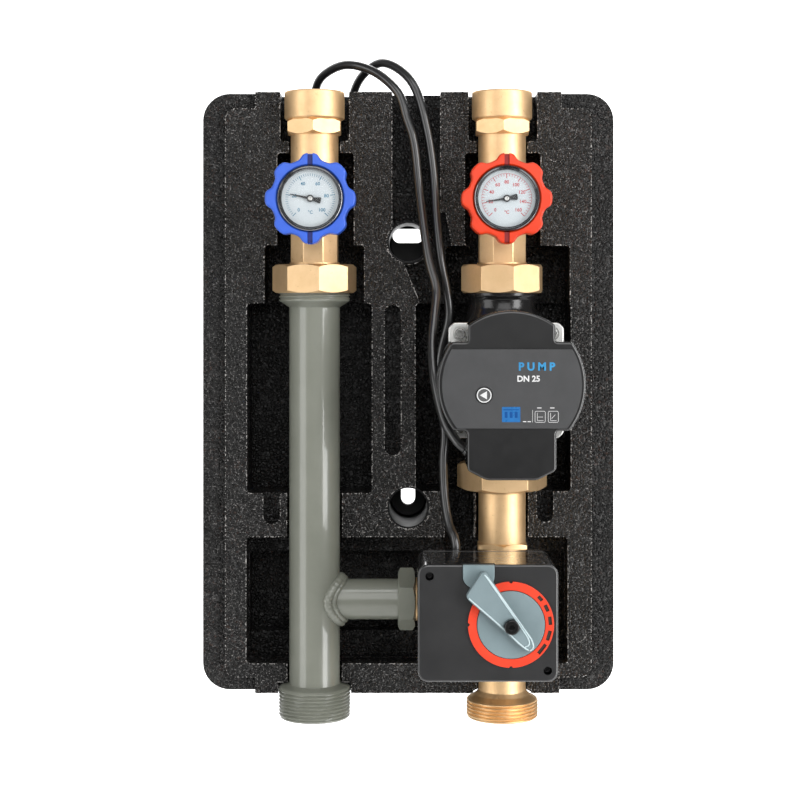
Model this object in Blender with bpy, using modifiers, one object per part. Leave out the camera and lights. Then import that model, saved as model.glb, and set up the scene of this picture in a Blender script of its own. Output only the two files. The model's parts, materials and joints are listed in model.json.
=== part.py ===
"""Heating pump and mixing group, DN25, in the rear half of its foam insulation.

Frame: X to the right, Z up, -Y towards the person who faces it. The origin is on the wall face, behind the
middle of the insulation. Both pipe columns stand in the plane Y = PIPE_Y. Sizes are in metres.
"Front" pieces are drawn in local axes: x right, y up, z towards the front, so local z is a depth before
PIPE_Y.
"""

import math

import bmesh
import bpy
from mathutils import Vector

MM = 0.001
GAP = 0.3 * MM  # between neighbouring pieces

# Driving dimensions
PIPE_Y = -62 * MM  # pipe plane, from the wall
COLUMN_X = 62.5 * MM  # half of the 125 mm between the pipe centres
SHELL_W, SHELL_H = 275 * MM, 400 * MM
SHELL_CORNER = 18 * MM
RIM_STEP = 5 * MM  # how far the rim band is set back
G1_BORE_R = 15.1 * MM  # G1 female thread
G112_R = 23.85 * MM  # G1 1/2 male thread, outside
PIPE_R, PIPE_BORE_R = 16.85 * MM, 14.2 * MM
BRANCH_R, BRANCH_Z = 13.45 * MM, -138 * MM
UNION_AF = 52 * MM
BOTTOM_Z = -216 * MM
STEM_Z = 126 * MM  # valve stem axis
UNION_FACE_Z = 75 * MM  # top unions
PUMP_Z, PUMP_LENGTH = 10 * MM, 130 * MM
PUMP_FOOT_Z = UNION_FACE_Z - PUMP_LENGTH
MIXING_Z = -137 * MM
BALL_R, BALL_BORE_R = 15 * MM, 10 * MM
TAIL_BORE_R = 11 * MM
CABLE_R = 3 * MM
UPPER_HOLE_Z, LOWER_HOLE_Z = 100 * MM, -77 * MM
HOLE_R, CUP_R, CUP_BORE_R = 14.3 * MM, 14.0 * MM, 12.9 * MM
HEAD_BACK, HEAD_FRONT = 62 * MM, 103 * MM  # pump head, in front of the pipe plane
BOX_BACK, BOX_FRONT = 30 * MM, 93 * MM  # actuator, in front of the pipe plane
TAB_SUNK, TAB_TRAVEL = 2.6 * MM, 2.5 * MM  # release tab, below the cover's face at rest and its stroke

FACING = (math.pi / 2, 0, 0)  # turns local z to -Y, and local y to +Z
SIDEWAYS = (0, math.pi / 2, 0)  # turns local z to +X
COLUMNS = {"return": -COLUMN_X, "supply": COLUMN_X}

MATERIALS = {
    "foam": ((0.03, 0.03, 0.03), 0.85, 0.0),
    "mount_plastic": ((0.03, 0.03, 0.03), 0.35, 0.0),
    "brass": ((0.78, 0.60, 0.34), 0.32, 1.0),
    "ptfe": ((0.9, 0.9, 0.88), 0.4, 0.0),
    "chrome": ((0.85, 0.85, 0.85), 0.1, 1.0),
    "blue_plastic": ((0.03, 0.11, 0.8), 0.35, 0.0),
    "red_plastic": ((0.85, 0.05, 0.03), 0.35, 0.0),
    "dial_white": ((0.92, 0.92, 0.92), 0.4, 0.0),
    "clear_glass": ((0.95, 0.97, 1.0), 0.05, 0.0),
    "pointer_black": ((0.02, 0.02, 0.02), 0.4, 0.0),
    "grey_paint": ((0.27, 0.29, 0.25), 0.4, 0.0),
    "black_cast_iron": ((0.015, 0.015, 0.015), 0.25, 0.3),
    "stainless": ((0.75, 0.75, 0.74), 0.2, 1.0),
    "screw_steel": ((0.7, 0.7, 0.7), 0.25, 1.0),
    "copper_winding": ((0.6, 0.27, 0.12), 0.4, 0.8),
    "black_plastic": ((0.025, 0.025, 0.027), 0.4, 0.0),
    "label_foil": ((0.06, 0.06, 0.065), 0.45, 0.0),
    "button_grey": ((0.4, 0.4, 0.41), 0.4, 0.0),
    "grey_blue_plastic": ((0.25, 0.38, 0.39), 0.45, 0.0),
    "scale_red": ((0.95, 0.09, 0.04), 0.45, 0.0),
    "gear_white": ((0.8, 0.8, 0.76), 0.45, 0.0),
    "black_cable": ((0.02, 0.02, 0.02), 0.4, 0.0),
}


def clear_scene():
    for obj in list(bpy.data.objects):
        bpy.data.objects.remove(obj, do_unlink=True)


def new_collection(name):
    made = bpy.data.collections.new(name)
    bpy.context.scene.collection.children.link(made)
    return made


def make_material(name):
    colour, roughness, metallic = MATERIALS[name]
    made = bpy.data.materials.new(name)
    made.use_nodes = True
    shader = made.node_tree.nodes["Principled BSDF"]
    shader.inputs["Base Color"].default_value = (*colour, 1)
    shader.inputs["Roughness"].default_value = roughness
    shader.inputs["Metallic"].default_value = metallic
    return made


clear_scene()
PARTS = new_collection("pump_and_mixing_group")
CUTTERS = new_collection("cutters")
SLOTS = {name: make_material(name) for name in MATERIALS}


# Basic shapes. Each returns an object that is not yet in a collection of parts.


def place(mesh, location, rotation):
    obj = bpy.data.objects.new("shape", mesh)
    obj.location, obj.rotation_euler = location, rotation
    return obj


def from_bmesh(bm, location=(0, 0, 0), rotation=(0, 0, 0)):
    mesh = bpy.data.meshes.new("shape")
    bm.to_mesh(mesh)
    bm.free()
    return place(mesh, location, rotation)


def block(low, high):
    """A box between two corners, in world axes."""
    low, high = Vector(low), Vector(high)
    bm = bmesh.new()
    bmesh.ops.create_cube(bm, size=1)
    bmesh.ops.scale(bm, vec=high - low, verts=bm.verts)
    return from_bmesh(bm, (low + high) / 2)


def rod(radius, length, location, rotation=(0, 0, 0), sides=20, top_radius=None):
    """A closed cylinder or cone from location along its local z."""
    bm = bmesh.new()
    end = radius if top_radius is None else top_radius
    bmesh.ops.create_cone(bm, cap_ends=True, segments=sides, radius1=radius, radius2=end, depth=length)
    bmesh.ops.translate(bm, vec=(0, 0, length / 2), verts=bm.verts)
    for face in bm.faces:
        face.smooth = len(face.verts) == 4
    return from_bmesh(bm, location, rotation)


def turned(profile, location, rotation=(0, 0, 0), steps=20, bored=False):
    """A profile of (radius, height) points turned about local z. It runs down the outer side, top to bottom.
    A bored profile comes back up its bore and closes on itself."""
    mesh = bpy.data.meshes.new("profile")
    edges = [(i, i + 1) for i in range(len(profile) - 1)]
    if bored:
        edges.append((len(profile) - 1, 0))
    mesh.from_pydata([(r, 0, z) for r, z in profile], edges, [])
    obj = place(mesh, location, rotation)
    screw = obj.modifiers.new("Turn", "SCREW")
    screw.angle, screw.axis = math.tau, "Z"
    screw.steps = screw.render_steps = steps
    screw.use_merge_vertices, screw.merge_threshold = True, 1e-5
    return obj


def as_mesh(obj):
    """The evaluated shape of a curve or a modified object, as a plain mesh object in the same place."""
    link_cutter(obj)
    bpy.context.view_layer.update()
    evaluated = obj.evaluated_get(bpy.context.evaluated_depsgraph_get())
    mesh = bpy.data.meshes.new_from_object(evaluated)
    bm = bmesh.new()
    bm.from_mesh(mesh)
    bmesh.ops.remove_doubles(bm, verts=bm.verts, dist=1e-6)
    bm.to_mesh(mesh)
    bm.free()
    made = bpy.data.objects.new("shape", mesh)
    made.matrix_world = obj.matrix_world.copy()
    bpy.data.objects.remove(obj, do_unlink=True)
    return made


def prism(outline, depth, location, rotation=(0, 0, 0)):
    """A closed outline of (x, y) points, extruded from location along its local z."""
    curve = bpy.data.curves.new("outline", "CURVE")
    curve.dimensions, curve.fill_mode, curve.extrude = "2D", "BOTH", depth / 2
    spline = curve.splines.new("POLY")
    spline.points.add(len(outline) - 1)
    for point, (x, y) in zip(spline.points, outline):
        point.co = (x, y, 0, 1)
    spline.use_cyclic_u = True
    obj = bpy.data.objects.new("outline", curve)
    obj.rotation_euler = rotation
    obj.location = Vector(location) + obj.rotation_euler.to_matrix() @ Vector((0, 0, depth / 2))
    return as_mesh(obj)


def tube(route, radius, resolution=2):
    """A closed tube along a list of points."""
    curve = bpy.data.curves.new("route", "CURVE")
    curve.dimensions, curve.bevel_depth, curve.bevel_resolution = "3D", radius, resolution
    curve.use_fill_caps = True
    spline = curve.splines.new("POLY")
    spline.points.add(len(route) - 1)
    for point, co in zip(spline.points, route):
        point.co = (*co, 1)
    return bpy.data.objects.new("route", curve)


# Ways to join shapes and to hand them in


def link_cutter(obj):
    if obj.name not in CUTTERS.objects:
        CUTTERS.objects.link(obj)
    obj.hide_render, obj.display_type = True, "WIRE"


def combine(obj, other, operation):
    other.name = "cutter"
    link_cutter(other)
    boolean = obj.modifiers.new(operation.title(), "BOOLEAN")
    boolean.object, boolean.operation = other, operation
    return obj


def cut(obj, *others):
    for other in others:
        combine(obj, other, "DIFFERENCE")
    return obj


def join(obj, *others):
    for other in others:
        combine(obj, other, "UNION")
    return obj


def common(obj, other):
    return combine(obj, other, "INTERSECT")


def robust(obj):
    """Uses the MANIFOLD solver where many cuts meet and the default one leaves open edges."""
    for modifier in obj.modifiers:
        if modifier.type == "BOOLEAN":
            modifier.solver = "MANIFOLD"
    return obj


def bevel(obj, width, segments=2, angle=40):
    rounding = obj.modifiers.new("Edges", "BEVEL")
    rounding.width, rounding.segments, rounding.angle_limit = width, segments, math.radians(angle)
    return obj


def part(name, slot, obj):
    """Hands a shape in as the named part, with its material."""
    obj.name = name
    obj.data.materials.clear()
    obj.data.materials.append(SLOTS[slot])
    PARTS.objects.link(obj)
    if obj.type == "MESH" and not obj.modifiers:
        obj.data.shade_smooth()
        obj.data.set_sharp_from_angle(angle=math.radians(35))
    return obj


def pivot(obj, x, y, z):
    """Moves the object's origin to a point on its joint's axis, with the shape left where it is."""
    axis = bpy.data.objects.new(obj.name + "_axis", None)
    axis.location = (x, y, z)
    PARTS.objects.link(axis)
    obj.parent = axis
    obj.matrix_parent_inverse = axis.matrix_basis.inverted()
    return obj


# Outlines


def height(mm):
    return mm * MM


def polygon(sides, across_flats, turn=0.0):
    radius = across_flats / 2 / math.cos(math.pi / sides)
    steps = [turn + math.tau * i / sides for i in range(sides)]
    return [(radius * math.cos(a), radius * math.sin(a)) for a in steps]


def arc(cx, cy, radius, start, end, steps):
    """Points along an arc, in degrees, ends included."""
    angles = [math.radians(start + (end - start) * i / steps) for i in range(steps + 1)]
    return [(cx + radius * math.cos(a), cy + radius * math.sin(a)) for a in angles]


def rounded_box(width, height, radius, steps=4, centre=(0, 0)):
    x, y = width / 2 - radius, height / 2 - radius
    corners = ((x, y, 0), (-x, y, 90), (-x, -y, 180), (x, -y, 270))
    points = [p for cx, cy, a in corners for p in arc(cx, cy, radius, a, a + 90, steps)]
    return [(px + centre[0], py + centre[1]) for px, py in points]


def front(x, z, depth=0.0):
    """The place of a front piece's local origin."""
    return (x, PIPE_Y - depth, z)


def front_tube(route):
    """Points given in millimetres as x, y, z, as a smooth curve with one point about every 2.5 diameters."""
    points = [Vector(p) * MM for p in route]
    ends = [2 * points[0] - points[1], *points, 2 * points[-1] - points[-2]]
    smooth = []
    for a, b, c, d in zip(ends, ends[1:], ends[2:], ends[3:]):
        count = max(1, round((c - b).length / (5 * CABLE_R)))
        for i in range(count):
            t = i / count
            smooth.append(
                0.5 * (2 * b + (c - a) * t + (2 * a - 5 * b + 4 * c - d) * t**2
                       + (3 * b - a - 3 * c + d) * t**3)
            )
    return [*smooth, points[-1]]


# Insulation shell

HANK_W, HANK_L, HANK_T = 48 * MM, 130 * MM, 12.4 * MM
HANK_BACK_Y = -0.6 * MM
POCKET_DEPTH = 14 * MM
HANKS = {"pump": (-62 * MM, 6 * MM), "actuator": (62 * MM, 6 * MM)}  # centre x and z, on the shell's back
STUB_X, STUB_TOP = -18 * MM, 67 * MM  # where a hank's first strand meets the cable, from the hank's centre


def recess(x0, x1, z0, z1, depth, corner=2.0):
    """A hollow in the shell's front, in millimetres, with rounded corners seen from the front."""
    outline = rounded_box((x1 - x0) * MM, (z1 - z0) * MM, corner * MM, 2)
    centre = ((x0 + x1) / 2 * MM, PIPE_Y + depth * MM, (z0 + z1) / 2 * MM)
    return prism(outline, (depth + 20) * MM, centre, FACING)


def groove(x, radius, z0, z1):
    """A half-round groove for a pipe, open to the front."""
    return rod(radius, (z1 - z0) * MM, (x, PIPE_Y, z0 * MM), sides=20)


def rear_shell():
    middle = rounded_box(SHELL_W, SHELL_H - 1 * MM, SHELL_CORNER, 5)
    shell = prism(middle, -PIPE_Y - RIM_STEP, (0, 0, 0), FACING)
    field = [(s * x * MM, t * z * MM) for s, t, pairs in (
        (1, 1, ((122, 183), (116, 189), (102, 189), (102, 200))),
        (-1, 1, ((102, 200), (102, 189), (116, 189), (122, 183))),
        (-1, -1, ((122, 184), (116, 190), (102, 190), (102, 200.6))),
        (1, -1, ((100.5, 200.6), (100.5, 190), (116, 190), (122, 184))),
    ) for x, z in pairs]
    join(shell, prism(field, -PIPE_Y - 1 * MM, (0, -1 * MM, 0), FACING))
    left, right = -COLUMN_X, COLUMN_X
    cut(
        shell,
        recess(-85.6, -39.3, 167, 225, 26),
        groove(left, 17.3 * MM, 150, 175),
        recess(-87.7, -36.1, 97.6, 159.8, 32),
        recess(-96.2, -29.2, 57.8, 98.4, 36),
        recess(-107.9, -24.1, -67.7, 59.4, 40),
        groove(left, 18.6 * MM, -105, 80),
        recess(-97.1, -85.4, -88.4, -60, 9, 5.5),
        recess(39.9, 86.3, 167, 225, 26),
        groove(right, 17.3 * MM, 150, 175),
        recess(37.5, 88.5, 97, 159.8, 32),
        recess(25.4, 108.0, 40, 98, 38),
        recess(4.6, 108.6, -66.5, 59, 44),
        groove(right, 17.6 * MM, -105, -50),
        recess(85.4, 96.9, -87, -50, 9, 5.5),
        recess(24, 44, -110, -50, 22),
        recess(-108.3, 106.5, -181.3, -96.5, 20),
        recess(-107.5, 105.7, -164, -108.7, 40),
        recess(-107.9, 106.1, -180.5, -160, 27),
        groove(left, 18.4 * MM, -230, -170),
        groove(left, 24.6 * MM, -229, -193.4),
        groove(right, 17.3 * MM, -230, -170),
        groove(right, 19.6 * MM, -229, -198),
        recess(-16, -4.7, -42.7, 58.4, 9, 5.5),
        recess(-11, 21.5, 108, 225, 18),
        prism(cable_channel(), 30 * MM, (0, PIPE_Y + 14 * MM, 0), FACING),
        rod(HOLE_R, 90 * MM, (0, 10 * MM, UPPER_HOLE_Z), FACING, 22),
        rod(HOLE_R, 90 * MM, (0, 10 * MM, LOWER_HOLE_Z), FACING, 22),
    )
    for name, (x, z) in HANKS.items():
        pocket = rounded_box(HANK_W + 4 * MM, HANK_L + 8 * MM, 20 * MM, 4)
        cut(shell, prism(pocket, POCKET_DEPTH + 10 * MM, (x, 10 * MM, z), FACING))
        cut(shell, prism(BACK_GROOVES[name], 23 * MM, (0, 10 * MM, 0), FACING))
    part("rear_insulation_shell", "foam", robust(shell))


def cable_channel():
    """The slanted channel that leads the cables from the trough past the upper hole to the pump."""
    return [(x * MM, z * MM) for x, z in ((-4, 88), (7, 61), (7, 50), (30, 50), (30, 92), (25, 120),
                                          (-6, 120))]


def ribbon(points, width):
    """The outline of a band of even width along a line of (x, z) points, in millimetres."""
    sides = ([], [])
    for i, (x, z) in enumerate(points):
        before, after = points[max(i - 1, 0)], points[min(i + 1, len(points) - 1)]
        along = Vector((after[0] - before[0], after[1] - before[1])).normalized() * width / 2
        sides[0].append(((x - along.y) * MM, (z + along.x) * MM))
        sides[1].append(((x + along.y) * MM, (z - along.x) * MM))
    return sides[0] + sides[1][::-1]


BACK_GROOVES = {
    "pump": ribbon(((-66, 215), (-66, 120), (-79, 86), (-80, 50)), 10),
    "actuator": ribbon(((-39, 215), (-39, 192), (-34, 176), (-20, 150), (12, 128), (27, 114.5), (38, 103),
                        (43, 90), (44, 50)), 10),
}


def mount_cup(name, z, slot):
    """A plastic cup through the shell: a wall screw goes through the slot in its floor."""
    depth = -PIPE_Y
    profile = ((CUP_R, -0.6 * MM), (CUP_R, -depth + 1 * MM), (0, -depth + 1 * MM), (0, -depth + 6 * MM),
               (CUP_BORE_R - 1 * MM, -depth + 6 * MM), (CUP_BORE_R, -depth + 7 * MM),
               (CUP_BORE_R, -0.6 * MM),
               (CUP_R, -0.6 * MM))
    cup = turned(profile, front(0, z), FACING, 22)
    cut(cup, prism(slot, 20 * MM, front(0, z, -70 * MM), FACING))
    part(name, "mount_plastic", cup)


def mount_cups():
    wide = rounded_box(21.6 * MM, 9.9 * MM, 4.9 * MM, 5, (0, 6.3 * MM))
    tall = [*arc(0, 0, 4.9 * MM, 180, 360, 8), (4.9 * MM, 11.4 * MM), (-4.9 * MM, 11.4 * MM)]
    mount_cup("upper_wall_mount_cup", UPPER_HOLE_Z, wide)
    mount_cup("lower_wall_mount_cup", LOWER_HOLE_Z, tall)


# Ball valves

SEAT_OUTER_R = 15.3 * MM
SEAT_FAR = 13.6 * MM  # from the ball's centre to the seat's far face
HANDLE_FRONT = 55 * MM
HANDLE_LOBES = 8


def valve_body(side, x):
    """Female socket, spanner hexagon and ball housing in one casting, open at the foot for the tailpiece."""
    housing_r = 21 * MM
    profile = (
        (G1_BORE_R + 1.6 * MM, height(200)), (19.3 * MM, height(200)), (20 * MM, height(199.3)),
        (20 * MM, height(182.4)),
        (19 * MM, height(181.4)), (15.85 * MM, height(180)), (15.85 * MM, height(150)),
        (housing_r, height(141)), (housing_r, height(112)),
        (17.5 * MM, height(107.6)), (15.7 * MM, height(107.6)), (15.7 * MM, STEM_Z + SEAT_FAR + GAP),
        (TAIL_BORE_R, STEM_Z + SEAT_FAR + GAP), (TAIL_BORE_R, height(178)), (G1_BORE_R, height(180)),
        (G1_BORE_R, height(198.5)),
    )
    body = turned(profile, (x, PIPE_Y, 0), bored=True)
    hexagon = chamfered_prism(6, 34.8 * MM, 90, 10.7 * MM, (x, PIPE_Y, 171 * MM))
    cut(hexagon, rod(13 * MM, 30 * MM, (x, PIPE_Y, 160 * MM)))
    join(body, as_mesh(hexagon))
    join(body, rod(9.5 * MM, 16 * MM, front(x, STEM_Z, 17 * MM), FACING, 20))
    cut(body, rod(6 * MM, 30 * MM, front(x, STEM_Z, 13 * MM), FACING, 20))
    part(f"{side}_valve_body", "brass", body)


def valve_tailpiece(side, x):
    """Screws into the valve body from below and holds the lower seat; its collar sits in the union nut."""
    profile = (
        (14.6 * MM, STEM_Z - SEAT_FAR - GAP), (15.35 * MM, height(111.6)), (15.35 * MM, height(107)),
        (16.6 * MM, height(107)),
        (16.6 * MM, height(79.9)), (23.3 * MM, height(79.9)), (23.3 * MM, UNION_FACE_Z + GAP),
        (TAIL_BORE_R, UNION_FACE_Z + GAP), (TAIL_BORE_R, STEM_Z - SEAT_FAR - GAP),
    )
    tail = turned(profile, (x, PIPE_Y, 0), bored=True)
    octagon = prism(polygon(8, 31 * MM, math.pi / 8), 20.9 * MM, (x, PIPE_Y, 86.2 * MM))
    common(tail, octagon_sleeve(x, octagon))
    part(f"{side}_valve_tailpiece", "brass", tail)


def octagon_sleeve(x, octagon):
    """The octagon with wide plain rods above and below it, to be shared with the tailpiece."""
    above = rod(30 * MM, 20 * MM, (x, PIPE_Y, 107 * MM))
    below = rod(30 * MM, 25 * MM, (x, PIPE_Y, 61.3 * MM))
    return as_mesh(join(octagon, above, below))


def ball_seats(side, x):
    seat = ((10.6 * MM, 13.6 * MM), (SEAT_OUTER_R, 13.6 * MM), (SEAT_OUTER_R, 6.6 * MM),
            (14.1 * MM, 6.6 * MM),
            (10.6 * MM, 11.8 * MM))
    part(f"{side}_upper_ball_seat", "ptfe", turned(seat, (x, PIPE_Y, STEM_Z), steps=24, bored=True))
    part(f"{side}_lower_ball_seat", "ptfe", turned(seat, (x, PIPE_Y, STEM_Z), (math.pi, 0, 0), 24, True))


def valve_ball(side, x):
    """Turned about the stem's axis, so that it keeps its outline as it turns."""
    steps = 10
    profile = [(BALL_R * math.sin(math.pi * i / steps), BALL_R * math.cos(math.pi * i / steps))
               for i in range(steps + 1)]
    ball = turned(profile, front(x, STEM_Z), FACING, 20)
    cut(ball, rod(BALL_BORE_R, 40 * MM, (x, PIPE_Y, STEM_Z - 20 * MM), sides=16))
    cut(ball, block((x - 2.4 * MM, PIPE_Y - 20 * MM, STEM_Z - 20 * MM),
                    (x + 2.4 * MM, PIPE_Y - 12 * MM, STEM_Z + 20 * MM)))
    pivot(part(f"{side}_valve_ball", "chrome", ball), x, PIPE_Y, STEM_Z)


def valve_stem(side, x):
    """A blade in the ball's slot, a round shaft through the body, and a square under the handle."""
    shaft = turned(((0, 37 * MM), (5.4 * MM, 37 * MM), (5.4 * MM, 15.6 * MM), (0, 15.6 * MM)),
                   front(x, STEM_Z), FACING, 16)
    join(shaft, block((x - 2.1 * MM, PIPE_Y - 17 * MM, STEM_Z - 4.6 * MM),
                      (x + 2.1 * MM, PIPE_Y - 12.6 * MM, STEM_Z + 4.6 * MM)))
    pivot(part(f"{side}_valve_stem", "brass", shaft), x, PIPE_Y, STEM_Z)


def handle_outline():
    """Eight blunt lobes with round scallops between them."""
    tip_r, root_r = 28.5 * MM, 25.2 * MM
    points = []
    for i in range(HANDLE_LOBES):
        middle = 360 / HANDLE_LOBES * i
        for offset, radius in ((-9, tip_r - 0.6 * MM), (-4, tip_r), (4, tip_r), (9, tip_r - 0.6 * MM),
                               (17, root_r + 0.4 * MM), (22.5, root_r), (28, root_r + 0.4 * MM)):
            angle = math.radians(middle + offset)
            points.append((radius * math.cos(angle), radius * math.sin(angle)))
    return points


def valve_handle(side, x, slot):
    """A lobed cap on the stem, hollow in front for the thermometer. Two slots mark the pipe's direction."""
    handle = prism(handle_outline(), 17 * MM, front(x, STEM_Z, HANDLE_FRONT - 17 * MM), FACING)
    join(handle, rod(11 * MM, 8 * MM, front(x, STEM_Z, 33.4 * MM), FACING, 24, 14 * MM))
    cut(handle, rod(21.1 * MM, 20 * MM, front(x, STEM_Z, HANDLE_FRONT - 9 * MM), FACING, 32))
    cut(handle, rod(5.7 * MM, 15 * MM, front(x, STEM_Z, 30 * MM), FACING, 16))
    for direction in (1, -1):
        z = STEM_Z + direction * 26 * MM
        cut(handle, block((x - 1.6 * MM, PIPE_Y - 60 * MM, z - 6 * MM),
                          (x + 1.6 * MM, PIPE_Y - 47 * MM, z + 6 * MM)))
    pivot(part(f"{side}_valve_handle", slot, handle), x, PIPE_Y, STEM_Z)


def thermometer(side, x, pointer_angle):
    """Case, dial plate, glass and pointer, all on the stem's axis."""
    back = 46.4 * MM
    case = ((20.3 * MM, 10.0 * MM), (20.8 * MM, 9.4 * MM), (20.8 * MM, 0), (0, 0), (0, 1.2 * MM),
            (19.6 * MM, 1.2 * MM), (19.6 * MM, 10.0 * MM), (20.3 * MM, 10.0 * MM))
    pivot(part(f"{side}_thermometer_case", "chrome", turned(case, front(x, STEM_Z, back), FACING, 28)),
          x, PIPE_Y, STEM_Z)
    dial = rod(19.3 * MM, 1 * MM, front(x, STEM_Z, back + 4.2 * MM), FACING, 28)
    pivot(part(f"{side}_thermometer_dial", "dial_white", dial), x, PIPE_Y, STEM_Z)
    glass = rod(19.3 * MM, 1 * MM, front(x, STEM_Z, back + 8.2 * MM), FACING, 28)
    pivot(part(f"{side}_thermometer_glass", "clear_glass", glass), x, PIPE_Y, STEM_Z)
    blade = [(-0.5 * MM, -6.5 * MM), (0.5 * MM, -6.5 * MM), (1.3 * MM, -5.5 * MM), (0.9 * MM, -2.2 * MM),
             *arc(0, 0, 2 * MM, -60, 60, 4), (0.35 * MM, 2.5 * MM), (0.12 * MM, 12.2 * MM),
             (-0.12 * MM, 12.2 * MM), (-0.35 * MM, 2.5 * MM), *arc(0, 0, 2 * MM, 120, 240, 4),
             (-0.9 * MM, -2.2 * MM), (-1.3 * MM, -5.5 * MM)]
    turn = math.radians(pointer_angle - 90)
    blade = [(px * math.cos(turn) - py * math.sin(turn), px * math.sin(turn) + py * math.cos(turn))
             for px, py in blade]
    pointer = prism(blade, 0.5 * MM, front(x, STEM_Z, back + 6.1 * MM), FACING)
    pivot(part(f"{side}_thermometer_pointer", "pointer_black", pointer), x, PIPE_Y, STEM_Z)


def ball_valves():
    for side, slot, pointer_angle in (("return", "blue_plastic", 168), ("supply", "red_plastic", 189)):
        x = COLUMNS[side]
        valve_body(side, x)
        valve_tailpiece(side, x)
        ball_seats(side, x)
        valve_ball(side, x)
        valve_stem(side, x)
        valve_handle(side, x, slot)
        thermometer(side, x, pointer_angle)


# Unions


def chamfered_prism(sides, across_flats, turn, width, location, rotation=(0, 0, 0), drop=1.6 * MM):
    """A many-sided nut along its local z, with its corners turned off at both ends."""
    flat = across_flats / 2 - 0.3 * MM
    corner = across_flats / 2 / math.cos(math.pi / sides) + 0.2 * MM
    nut = prism(polygon(sides, across_flats, math.radians(turn)), width, location, rotation)
    beyond = 1 * MM  # the barrel is longer than the nut
    end = flat - (corner - flat) * beyond / drop
    barrel = ((0, width + beyond), (end, width + beyond), (corner, width - drop), (corner, drop),
              (end, -beyond),
              (0, -beyond))
    return common(nut, turned(barrel, location, rotation, 3 * sides))


def union_nut(name, x, low, height, sides, turn, lip_on_top=True):
    """A nut whose lip holds the collar of the next piece against the threaded end."""
    lip = 4.6 * MM
    nut = chamfered_prism(sides, UNION_AF, turn, height, (x, PIPE_Y, low))
    thread_low = low - 10 * MM if lip_on_top else low + lip
    cut(
        nut,
        rod(24.15 * MM, height - lip + 10 * MM, (x, PIPE_Y, thread_low)),
        rod(17.1 * MM, 60 * MM, (x, PIPE_Y, low - 20 * MM)),
    )
    part(name, "brass", nut)


def unions():
    union_nut("return_union_nut", -COLUMN_X, 66 * MM, 19 * MM, 8, 9)
    union_nut("supply_union_nut", COLUMN_X, 66 * MM, 19 * MM, 8, 12.7)
    union_nut("pump_union_nut", COLUMN_X, -64.5 * MM, 18.5 * MM, 6, 23.6, lip_on_top=False)


# Return pipe with its branch


def return_pipe():
    profile = ((0, UNION_FACE_Z - GAP), (22.6 * MM, UNION_FACE_Z - GAP), (G112_R, height(73.5)),
               (G112_R, height(61)),
               (18.2 * MM, height(57.6)), (PIPE_R, height(57)), (PIPE_R, height(-194)),
               (19 * MM, height(-195)), (22.4 * MM, height(-199)),
               (G112_R, height(-200)), (G112_R, height(-214.5)), (22.6 * MM, BOTTOM_Z), (0, BOTTOM_Z))
    pipe = turned(profile, (-COLUMN_X, PIPE_Y, 0))
    branch_end = -5.6 * MM
    length = branch_end + COLUMN_X
    branch = rod(BRANCH_R, length, (-COLUMN_X, PIPE_Y, BRANCH_Z), SIDEWAYS, 20)
    weld = rod(17.6 * MM, 6.5 * MM, (-COLUMN_X + 15 * MM, PIPE_Y, BRANCH_Z), SIDEWAYS, 20,
               BRANCH_R - 0.2 * MM)
    join(pipe, branch, weld)
    cut(pipe, rod(10.9 * MM, length + 20 * MM, (-COLUMN_X, PIPE_Y, BRANCH_Z), SIDEWAYS, 16))
    cut(pipe, rod(PIPE_BORE_R, 320 * MM, (-COLUMN_X, PIPE_Y, -230 * MM)))
    part("return_pipe", "grey_paint", pipe)


def branch_nut():
    """The grey nut that joins the branch to the mixing valve's side port."""
    x0 = -6.9 * MM
    nut = chamfered_prism(6, 36.2 * MM, 0, 11.4 * MM, (x0, PIPE_Y, BRANCH_Z), SIDEWAYS)
    cut(nut, rod(BRANCH_R + GAP, 40 * MM, (x0 - 10 * MM, PIPE_Y, BRANCH_Z), SIDEWAYS, 20))
    part("branch_union_nut", "grey_paint", nut)


# Pump

CASING_R = 38 * MM
MOTOR_BACK = 38.4 * MM
FLANGE_HALF = 37 * MM
SCREW_X, SCREW_Z = 29.5 * MM, 30 * MM


def pump_housing():
    """Cast volute with its two threaded necks, bored from end to end and open to the motor."""
    z_top, z_foot = UNION_FACE_Z - GAP, PUMP_FOOT_Z
    casing = ((0, 38 * MM), (35 * MM, 38 * MM), (CASING_R, 34 * MM), (CASING_R, -18 * MM),
              (32 * MM, -27 * MM),
              (0, -27 * MM))
    housing = turned(casing, front(COLUMN_X, PUMP_Z), FACING, 24)
    neck = ((0, z_top), (G112_R, z_top), (G112_R, 64 * MM), (22 * MM, 62 * MM), (22 * MM, 57 * MM),
            (29 * MM, 40 * MM),
            (29 * MM, -30 * MM), (22 * MM, -40 * MM), (G112_R, -43 * MM), (G112_R, z_foot), (0, z_foot))
    join(housing, turned(neck, (COLUMN_X, PIPE_Y, 0)))
    for sx in (1, -1):
        for sz in (1, -1):
            lug = rod(7 * MM, 14 * MM, front(COLUMN_X + sx * SCREW_X, PUMP_Z + sz * SCREW_Z, 24 * MM),
                      FACING, 10)
            join(housing, lug)
    cut(housing, rod(30 * MM, 70 * MM, front(COLUMN_X, PUMP_Z, -6 * MM), FACING, 20))
    cut(housing, rod(12.5 * MM, 300 * MM, (COLUMN_X, PIPE_Y, -150 * MM), sides=16))
    for sx in (1, -1):
        for sz in (1, -1):
            cut(housing, rod(3 * MM, 24 * MM, front(COLUMN_X + sx * SCREW_X, PUMP_Z + sz * SCREW_Z, 28 * MM),
                             FACING, 8))
    part("pump_housing", "black_cast_iron", housing)


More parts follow.
